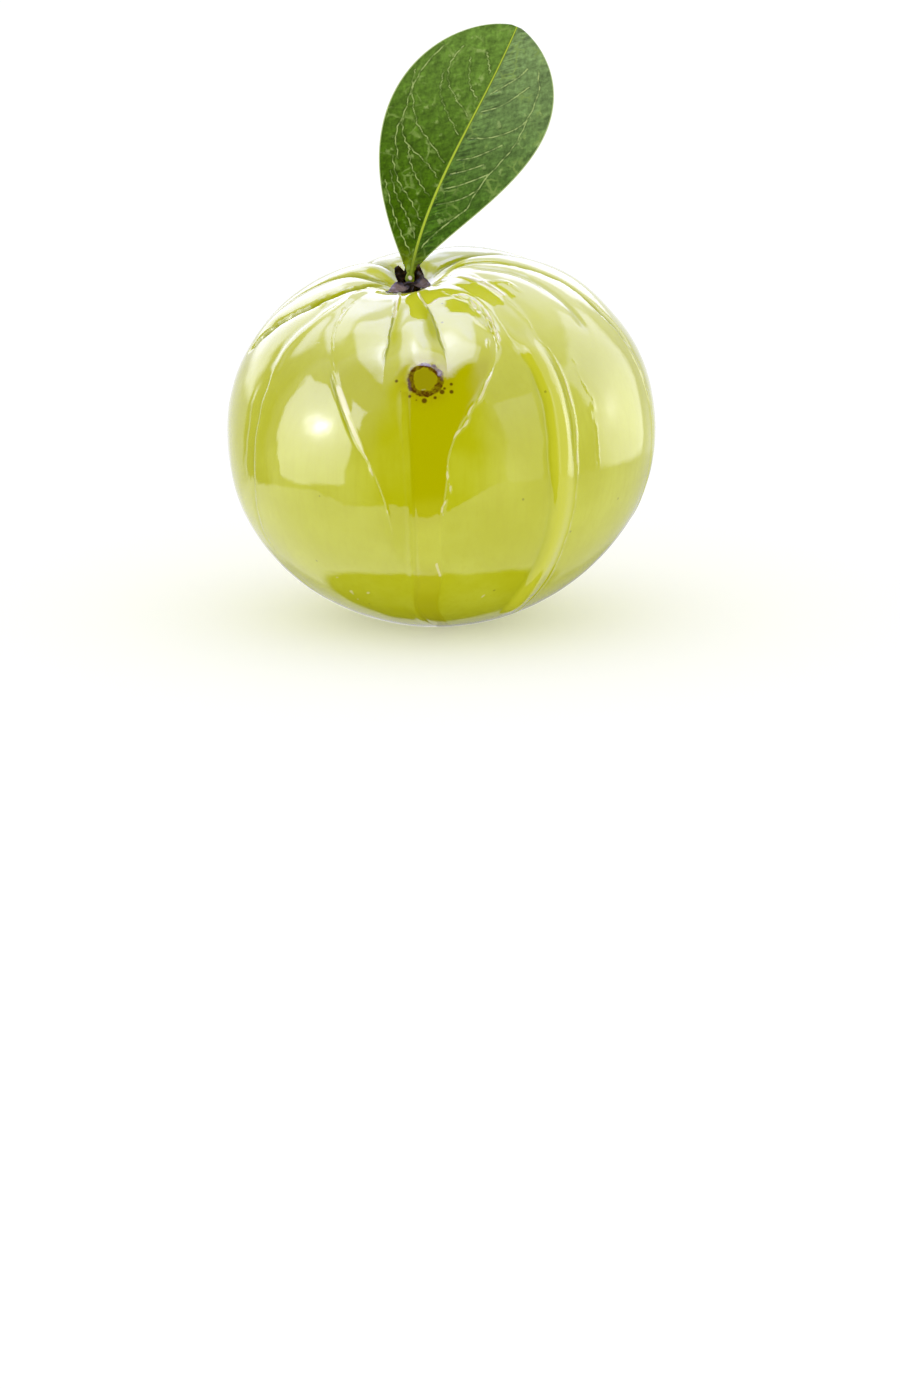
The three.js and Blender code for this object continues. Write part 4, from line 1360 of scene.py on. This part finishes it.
        # Painted light and shade: each leather lump is painted lighter on its upper left, darker on its lower
        # right.
        beside = add_node(tree, "VectorMath", {0: place, 1: (-0.1 * MM, 0.0, 0.12 * MM)})
        here, there = [
            add_node(tree, "TexNoise", {"Vector": where, "Scale": pattern_scale(self.lump_mm), "Detail": 4.0})
            for where in (place, beside)]
        lump_shading = add_node(tree, "Math", {0: here, 1: there}, operation="SUBTRACT")
        painted_lump_light = add_node(tree, "Math", {0: lump_shading, 1: 2.2, 2: 1.0}, operation="MULTIPLY_ADD")
        combed = add_node(tree, "Math", {0: comb, 1: 0.45, 2: 0.88}, operation="MULTIPLY_ADD")
        for factor in (grained, blotched, painted_lump_light, combed):
            green = shaded(green, factor)

        # The net of small veins is the edges of cells whose places a noise bends.
        shift = add_node(tree, "TexNoise", {"Vector": place, "Scale": pattern_scale(self.net_wave_mm)})
        bend = (self.net_bend_mm * MM,) * 3
        bent = add_node(tree, "VectorMath", {0: shift.outputs["Color"], 1: bend, 2: place},
                        operation="MULTIPLY_ADD")
        cells = add_node(tree, "TexVoronoi", {"Vector": bent, "Scale": pattern_scale(self.net_mm)},
                         feature="DISTANCE_TO_EDGE")
        net = add_node(tree, "MapRange", {0: cells, 1: 0.01, 2: 0.09, 3: 1.0, 4: 0.0}, **SMOOTH)
        patchy = add_node(tree, "MapRange", {0: broken, 1: 0.48, 2: 0.66, 3: 0.0, 4: 0.65}, **SMOOTH)
        shown = add_node(tree, "Math", {0: net, 1: patchy}, operation="MULTIPLY")
        # Painted highlights: pale flecks stand for light caught on the blade's crumples.
        crumple_glint_noise = add_node(tree, "TexNoise",
                           {"Vector": place, "Scale": pattern_scale(self.crumple_glint_mm), "Detail": 5.0})
        crumple_glint = add_node(tree, "MapRange", {0: crumple_glint_noise, 1: 0.62, 2: 0.72, 3: 0.0, 4: 0.35}, **SMOOTH)
        for share, colour in ((shown, self.net), (crumple_glint, self.vein)):
            green = add_node(tree, "Mix", {0: share, 6: green, 7: linear_colour(colour)}, **COLOURS)

        # Round a vein the green is painted darker as shade, and its pale core comes and goes along it.
        groove = add_node(tree, "MapRange", {0: vein, 1: 0.08, 2: 0.45, 3: 1.0, 4: 0.78}, **SMOOTH)
        green = shaded(green, groove)
        core = add_node(tree, "MapRange", {0: vein, 1: 0.66, 2: 0.94}, **SMOOTH)
        faded = add_node(tree, "MapRange", {0: patch, 1: 0.4, 2: 0.6, 3: 0.15, 4: 0.8}, **SMOOTH)
        core = add_node(tree, "Math", {0: core, 1: faded}, operation="MULTIPLY")
        # The midrib's edges are painted olive as shade; its crest is bright, and dull for the foot's first
        # few mm.
        edge = add_node(tree, "MapRange", {0: rib, 1: 0.08, 2: 0.3}, **SMOOTH)
        crest = add_node(tree, "MapRange", {0: rib, 1: 0.3, 2: 0.55}, **SMOOTH)
        past_foot = add_node(tree, "MapRange", {0: along, 1: 0.8, 2: 4.5, 3: 0.3, 4: 1.0}, **SMOOTH)
        lit = add_node(tree, "Math", {0: crest, 1: past_foot}, operation="MULTIPLY")
        for share, colour in ((core, self.vein), (under, self.under), (edge, self.rib_edge_shade), (lit, self.rib)):
            green = add_node(tree, "Mix", {0: share, 6: green, 7: linear_colour(colour)}, **COLOURS)
        rim_shade = add_node(tree, "MapRange", {0: rim, 1: 0.1, 2: 0.5, 3: 1.0, 4: 0.9}, **SMOOTH)
        green = shaded(green, rim_shade)
        border = add_node(tree, "MapRange", {0: rim, 1: 0.55, 2: 0.95}, **SMOOTH)
        # Painted highlight: a white glint about 0.35 mm across on the foot's upper side, where a syrup bead
        # would shine.
        on_blade = add_node(tree, "CombineXYZ", {0: across, 1: along})
        foot = add_node(tree, "VectorMath", {0: on_blade, 1: (0.0, 0.25, 0.0)}, operation="DISTANCE")
        bead = add_node(tree, "MapRange", {0: foot, 1: 0.12, 2: 0.22, 3: 1.0, 4: 0.0}, **SMOOTH)
        bead = add_node(tree, "Math", {0: bead, 1: under}, operation="SUBTRACT")
        for share, colour in ((border, self.rim), (bead, self.bead)):
            green = add_node(tree, "Mix", {0: share, 6: green, 7: linear_colour(colour)}, **COLOURS)

        fine = add_node(tree, "Math", {0: net, 1: 0.4, 2: grain}, operation="MULTIPLY_ADD")
        fine = add_node(tree, "Math", {0: comb, 1: 0.6, 2: fine}, operation="MULTIPLY_ADD")
        leather = add_node(tree, "Bump", {"Strength": 0.6, "Distance": 0.06 * MM, "Height": fine})
        # The sheen grows to the right and towards the tip.
        rightwards = add_node(tree, "Math", {0: on_right, 1: 0.2, 2: 0.06}, operation="MULTIPLY_ADD")
        tipwards = add_node(tree, "Math", {0: up, 1: 0.8, 2: 0.4}, operation="MULTIPLY_ADD")
        sheen = add_node(tree, "Math", {0: rightwards, 1: tipwards}, operation="MULTIPLY")
        surface = add_node(tree, "BsdfPrincipled", {
            "Base Color": green,
            "Roughness": 0.5,
            "IOR": 1.45,
            "Specular IOR Level": 0.05,
            "Normal": leather,
            "Coat Weight": sheen,
            "Coat Roughness": 0.25,
            "Coat IOR": 1.45,
            "Coat Normal": leather,
        })
        add_node(tree, "OutputMaterial", {"Surface": surface})
        return material


@dataclass(frozen=True)
class Crown:
    """What stands in the stalk hollow: the stub, the six calyx lobes round it and the leaf."""

    stub: StalkStub = StalkStub()
    leaf: Leaf = Leaf()
    lobes: tuple[CalyxLobe, ...] = (
        CalyxLobe("calyx_lobe_1", -44.0, -22.0, -14.0, 1.9, 1.8, 1.3, cup=0.05, bloom=1.0, fullness=0.5),
        CalyxLobe("calyx_lobe_2", -2.0, -56.0, 0.0, 0.6, 1.1, 0.1),
        CalyxLobe("calyx_lobe_3", 54.0, -26.0, 16.0, 1.3, 1.6, 0.4, bloom=0.55),
        CalyxLobe("calyx_lobe_4", 98.0, 72.0, 46.0, 1.0, 1.9, 0.2, cup=0.15, root_width=2.0),
        CalyxLobe("calyx_lobe_5", 176.0, 46.0, 0.0, 1.2, 1.3, 0.2),
        CalyxLobe("calyx_lobe_6", -104.0, 70.0, -40.0, 1.0, 1.2, 0.3, cup=1.4, tip_width=0.6),
    )

    def build(self, fruit: Fruit) -> None:
        """Builds every piece of the crown."""
        material = DryCalyx().material()
        self.stub.build(fruit, material)
        for lobe in self.lobes:
            lobe.build(fruit, material)
        self.leaf.build(fruit)


# The studio ------------------------------------------------------------------------------------


@dataclass(frozen=True)
class Softbox:
    """One flat light panel round the fruit, seen only in its gloss.

    azimuth and elevation aim at its middle and roll turns it in its own plane. width and height are the
    angles that it spans, fade is how soft its edge is, and glow is its brightness beside white paper. A
    round hot spot of hot_glow and, about it, a wider halo of halo_glow stand hot_aside and hot_above from
    its middle. Angles are in degrees.
    """

    azimuth: float
    elevation: float
    width: float
    height: float
    glow: float
    roll: float = 0.0
    fade: float = 2.0
    hot_glow: float = 0.0
    hot_spread: float = 8.0
    hot_aside: float = 0.0
    hot_above: float = 0.0
    halo_glow: float = 0.0
    halo_spread: float = 24.0

    def axes(self) -> tuple[Array, Array, Array]:
        """Returns the unit vectors towards the panel, along its width and up its height."""
        az, el, roll = (math.radians(angle) for angle in (self.azimuth, self.elevation, self.roll))
        towards = np.array([math.sin(az) * math.cos(el), -math.cos(az) * math.cos(el), math.sin(el)])
        side = np.array([math.cos(az), math.sin(az), 0.0])
        up = np.cross(towards, side)
        across = side * math.cos(roll) + up * math.sin(roll)
        upwards = up * math.cos(roll) - side * math.sin(roll)
        return towards, across, upwards

    def shine(self, tree: bpy.types.NodeTree, direction: Source) -> Source:
        """Adds the nodes that say how bright the panel is in a direction.

        The direction is cast on the panel's plane, where the panel is a soft-edged rectangle; the hot spot
        is a bell of the angle from its middle.

        Returns:
            The node that gives the brightness.
        """
        towards, side, up = self.axes()
        aside, above = (math.tan(math.radians(angle)) for angle in (self.hot_aside, self.hot_above))
        spot = towards + side * aside + up * above
        axes = (towards, side, up, spot / np.linalg.norm(spot))
        facing, sideways, upwards, nearness = [
            add_node(tree, "VectorMath", {0: direction, 1: tuple(axis)}, operation="DOT_PRODUCT")
            for axis in axes]
        depth = add_node(tree, "Math", {0: facing, 1: 0.001}, operation="MAXIMUM")
        glow = add_node(tree, "Math", {0: facing, 1: 0.001}, operation="GREATER_THAN")
        for part, span in ((sideways, self.width), (upwards, self.height)):
            off = add_node(tree, "Math", {0: part, 1: depth}, operation="DIVIDE")
            off = add_node(tree, "Math", {0: off}, operation="ABSOLUTE")
            edge = math.tan(math.radians(span / 2.0))
            soft = math.tan(math.radians(self.fade))
            inside = add_node(tree, "MapRange", {0: off, 1: edge - soft, 2: edge + soft, 3: 1.0, 4: 0.0},
                              **SMOOTH)
            glow = add_node(tree, "Math", {0: inside, 1: glow}, operation="MULTIPLY")
        level: Source | float = self.glow
        for bright, spread in ((self.hot_glow, self.hot_spread), (self.halo_glow, self.halo_spread)):
            if bright > 0.0:
                sharpness = 2.0 / math.radians(spread) ** 2
                fall = add_node(tree, "Math", {0: nearness, 1: sharpness, 2: -sharpness},
                                operation="MULTIPLY_ADD")
                bump = add_node(tree, "Math", {0: fall}, operation="EXPONENT")
                level = add_node(tree, "Math", {0: bump, 1: bright, 2: level}, operation="MULTIPLY_ADD")
        return add_node(tree, "Math", {0: glow, 1: level}, operation="MULTIPLY")


@dataclass(frozen=True)
class Studio:
    """A plain pale floor in a white room, with an unlit space in front and softboxes all round.

    camera_distance and floor_size are in metres and other sizes in mm. A glow is a brightness beside
    white paper. Each of the shadows is a cone's lean from straight down and half angle, in degrees, and
    how much light is left in it. gap_azimuth is the middle of the dim gap in the wall.
    """

    camera_elevation: float = 12.0
    camera_distance: float = 0.685
    lens: float = 200.0
    sensor: float = 36.0
    fruit_right: float = -0.71
    fruit_up: float = 23.1
    floor_size: float = 3.0
    floor_gap: float = 0.01
    floor_colour: str = "#E2E2E0"
    floor_lift: float = 0.3
    overhead_blue: float = 1.6
    behind_blue: float = 0.4
    wall_glow: float = 1.1
    gap_azimuth: float = -119.0
    gap_width: float = 14.0
    gap_fade: float = 9.0
    gap_glow: float = 0.45
    table_glow: float = 1.45
    table_left_glow: float = 2.15
    shadows: tuple[tuple[float, float, float], ...] = ((20.0, 29.0, 0.06), (50.0, 22.0, 0.6))
    softboxes: tuple[Softbox, ...] = (
        # The left softbox, the right one, and the one overhead that reaches back over the fruit.
        Softbox(-76.0, 12.0, 46.0, 56.0, 2.6, fade=1.5, hot_glow=16.0, hot_spread=5.0, hot_aside=2.0,
                hot_above=7.0, halo_glow=4.2),
        Softbox(115.0, 15.0, 48.0, 58.0, 1.5, fade=3.0, hot_glow=2.0, hot_spread=6.0, hot_aside=-9.0,
                hot_above=-7.0, halo_glow=2.4, halo_spread=22.0),
        Softbox(-120.0, 76.0, 48.0, 38.0, 2.6, roll=30.0, fade=3.0, hot_glow=4.5, hot_spread=4.5,
                hot_aside=5.5, halo_glow=2.2, halo_spread=16.0),
        # Weaker panels: beside the camera on the right, straight above it, and three behind the fruit.
        Softbox(45.0, 12.0, 23.0, 60.0, 0.9, fade=1.5),
        Softbox(-5.0, 79.0, 30.0, 20.0, 2.2, fade=2.0),
        Softbox(-148.0, 25.0, 34.0, 40.0, 1.9, fade=4.0),
        Softbox(177.0, 20.0, 40.0, 24.0, 1.7, fade=3.0),
        Softbox(150.0, 42.0, 30.0, 30.0, 0.4, fade=4.0),
    )

    def camera(self, middle: Array) -> bpy.types.Object:
        """Adds the camera, which looks down at the fruit's middle and keeps it above the picture's centre."""
        pitch = math.radians(self.camera_elevation)
        drop = math.atan2(self.fruit_up * MM, self.camera_distance)
        swing = math.atan2(self.fruit_right * MM, self.camera_distance)
        data = bpy.data.cameras.new("camera")
        data.lens = self.lens
        data.sensor_width = self.sensor
        camera = bpy.data.objects.new("camera", data)
        away = np.array([0.0, -math.cos(pitch), math.sin(pitch)])
        camera.location = tuple(middle * MM + away * self.camera_distance)
        camera.rotation_euler = (math.pi / 2.0 - pitch - drop, 0.0, swing)
        bpy.context.scene.collection.objects.link(camera)
        bpy.context.scene.camera = camera
        return camera

    def floor(self) -> bpy.types.Object:
        """Adds the floor as one square sheet of matt white card, just under the part."""
        half = self.floor_size / 2.0
        mesh = bpy.data.meshes.new("floor")
        level = -self.floor_gap * MM
        corners = [(-half, -half, level), (half, -half, level), (half, half, level), (-half, half, level)]
        mesh.from_pydata(corners, [], [(0, 1, 2, 3)])
        floor = bpy.data.objects.new("floor", mesh)
        bpy.context.scene.collection.objects.link(floor)
        material, tree = new_material("matt_white_card")
        card = add_node(tree, "BsdfPrincipled", {
            "Base Color": linear_colour(self.floor_colour),
            "Roughness": 1.0,
            "Specular IOR Level": 0.0,
            "Emission Color": WHITE,
            "Emission Strength": self.floor_lift,
        })
        add_node(tree, "OutputMaterial", {"Surface": card})
        mesh.materials.append(material)
        floor.visible_glossy = False
        return floor

    def room(self) -> None:
        """Makes the world: white to the camera and to matt surfaces, and a furnished room to shiny ones.

        The walls behind brighten with height, and have a dim gap at the back left. The front is unlit in
        the middle, where the camera stands. Below a horizon, which rises and falls round the room, lies a
        bright table, dark in two cones that lean back, where the fruit shades it. The softboxes are added
        on top. Angles are in degrees.
        """
        world = bpy.data.worlds.new("white_room")
        world.use_nodes = True
        tree = world.node_tree
        tree.nodes.clear()
        direction = add_node(tree, "TexCoord").outputs["Generated"]
        x, y, z = add_node(tree, "SeparateXYZ", {0: direction}).outputs
        forward = add_node(tree, "Math", {0: y, 1: -1.0}, operation="MULTIPLY")
        azimuth = add_node(tree, "Math", {0: x, 1: forward}, operation="ARCTAN2")
        azimuth = add_node(tree, "Math", {0: azimuth}, operation="DEGREES")
        elevation = add_node(tree, "Math", {0: z}, operation="ARCSINE")
        elevation = add_node(tree, "Math", {0: elevation}, operation="DEGREES")
        off_front = add_node(tree, "Math", {0: azimuth}, operation="ABSOLUTE")

        # The wall behind grows brighter from 5 to 60 degrees up.
        high = add_node(tree, "MapRange", {0: elevation, 1: 5.0, 2: 60.0}, **SMOOTH)
        behind = add_node(tree, "MapRange", {0: off_front, 1: 70.0, 2: 125.0, 3: 0.0, 4: 0.9}, **SMOOTH)
        gap = add_node(tree, "Math", {0: azimuth, 1: self.gap_azimuth}, operation="SUBTRACT")
        gap = add_node(tree, "Math", {0: gap}, operation="ABSOLUTE")
        gap_edge = self.gap_width / 2.0
        plain = add_node(tree, "MapRange",
                         {0: gap, 1: gap_edge, 2: gap_edge + self.gap_fade, 3: self.gap_glow,
                          4: self.wall_glow}, **SMOOTH)
        wall = add_node(tree, "Math", {0: high, 1: behind, 2: plain}, operation="MULTIPLY_ADD")
        # The unlit front reaches from left to right of the camera, further left high up, up to 70 degrees.
        wider = add_node(tree, "MapRange", {0: elevation, 1: 40.0, 2: 60.0, 3: 0.0, 4: 16.0}, **SMOOTH)
        slanting = add_node(tree, "Math", {0: azimuth, 1: wider}, operation="ADD")
        from_left = add_node(tree, "MapRange", {0: slanting, 1: -56.0, 2: -28.0}, **SMOOTH)
        from_right = add_node(tree, "MapRange", {0: azimuth, 1: 12.0, 2: 36.0, 3: 1.0, 4: 0.0}, **SMOOTH)
        low = add_node(tree, "MapRange", {0: elevation, 1: 66.0, 2: 72.0, 3: 1.0, 4: 0.0}, **SMOOTH)
        unlit = add_node(tree, "Math", {0: from_left, 1: from_right}, operation="MULTIPLY")
        unlit = add_node(tree, "Math", {0: unlit, 1: low}, operation="MULTIPLY")
        lit = add_node(tree, "Math", {0: 1.0, 1: unlit}, operation="SUBTRACT")
        wall = add_node(tree, "Math", {0: wall, 1: lit}, operation="MULTIPLY")
        for box in self.softboxes:
            wall = add_node(tree, "Math", {0: wall, 1: box.shine(tree, direction)}, operation="ADD")

        # The table is brighter on the left, half as bright behind and darker in the shadows.
        table = add_node(tree, "MapRange",
                         {0: azimuth, 1: -50.0, 2: -20.0, 3: self.table_left_glow, 4: self.table_glow},
                         **SMOOTH)
        far = add_node(tree, "MapRange", {0: off_front, 1: 100.0, 2: 165.0, 3: 1.0, 4: 0.5}, **SMOOTH)
        table = add_node(tree, "Math", {0: table, 1: far}, operation="MULTIPLY")
        for lean, spread, dark in self.shadows:
            axis = (0.0, math.sin(math.radians(lean)), -math.cos(math.radians(lean)))
            near = add_node(tree, "VectorMath", {0: direction, 1: axis}, operation="DOT_PRODUCT")
            outer, inner = (math.cos(math.radians(spread + step)) for step in (2.0, -2.0))
            shadow = add_node(tree, "MapRange", {0: near, 1: outer, 2: inner, 3: 1.0, 4: dark}, **SMOOTH)
            table = add_node(tree, "Math", {0: table, 1: shadow}, operation="MULTIPLY")

        # The horizon rises on the right and at the far left and dips just left of the camera, and the edge
        # between table and wall is 1.6 degrees soft.
        horizon = add_node(tree, "MapRange", {0: azimuth, 1: 3.0, 2: 34.0, 3: -28.0, 4: -14.0}, **SMOOTH)
        left_rise = add_node(tree, "MapRange", {0: azimuth, 1: -75.0, 2: -55.0, 3: 9.0, 4: 0.0}, **SMOOTH)
        horizon = add_node(tree, "Math", {0: horizon, 1: left_rise}, operation="ADD")
        dip = add_node(tree, "Math", {0: azimuth, 1: 11.0}, operation="ADD")
        dip = add_node(tree, "Math", {0: dip}, operation="ABSOLUTE")
        dip = add_node(tree, "MapRange", {0: dip, 1: 3.0, 2: 18.0, 3: -8.0, 4: 0.0}, **SMOOTH)
        horizon = add_node(tree, "Math", {0: horizon, 1: dip}, operation="ADD")
        above = add_node(tree, "Math", {0: elevation, 1: horizon}, operation="SUBTRACT")
        above = add_node(tree, "MapRange", {0: above, 1: -0.8, 2: 0.8}, **SMOOTH)
        difference = add_node(tree, "Math", {0: wall, 1: table}, operation="SUBTRACT")
        strength = add_node(tree, "Math", {0: above, 1: difference, 2: table}, operation="MULTIPLY_ADD")
        # The light from high up is cooler, and so is that from behind, but for the table.
        off_table = add_node(tree, "MapRange", {0: elevation, 1: -12.0, 2: 15.0, 3: 0.25, 4: 1.0}, **SMOOTH)
        back = add_node(tree, "MapRange", {0: off_front, 1: 120.0, 2: 165.0, 3: 0.0, 4: self.behind_blue},
                        **SMOOTH)
        back = add_node(tree, "Math", {0: off_table, 1: back}, operation="MULTIPLY")
        overhead = add_node(tree, "MapRange",
                            {0: elevation, 1: 0.0, 2: 60.0, 3: 1.0, 4: self.overhead_blue}, **SMOOTH)
        cool = add_node(tree, "Math", {0: overhead, 1: back}, operation="ADD")
        tint = add_node(tree, "CombineColor", {0: 1.0, 1: 1.0, 2: cool})
        room = add_node(tree, "Background", {"Color": tint, "Strength": strength})
        white = add_node(tree, "Background", {"Color": WHITE, "Strength": 1.0})
        glossy = add_node(tree, "LightPath").outputs["Is Glossy Ray"]
        background = add_node(tree, "MixShader", {0: glossy, 1: white, 2: room})
        add_node(tree, "OutputWorld", {"Surface": background})
        bpy.context.scene.world = world

    def build(self, middle: Array) -> None:
        """Sets up the camera, the floor and the room round the fruit's middle, in mm."""
        self.camera(middle)
        self.floor()
        self.room()
        bpy.context.scene.view_settings.view_transform = "Standard"
        log.info("studio: %d softboxes", len(self.softboxes))


def main() -> None:
    """Builds the studio and every piece in order."""
    logging.basicConfig(level=logging.INFO, format="%(name)s: %(message)s")
    fruit = Fruit()
    Studio().build(np.array([0.0, 0.0, fruit.form.centre_height]))
    fruit.build()
    Crown().build(fruit)


if __name__ == "__main__":
    main()
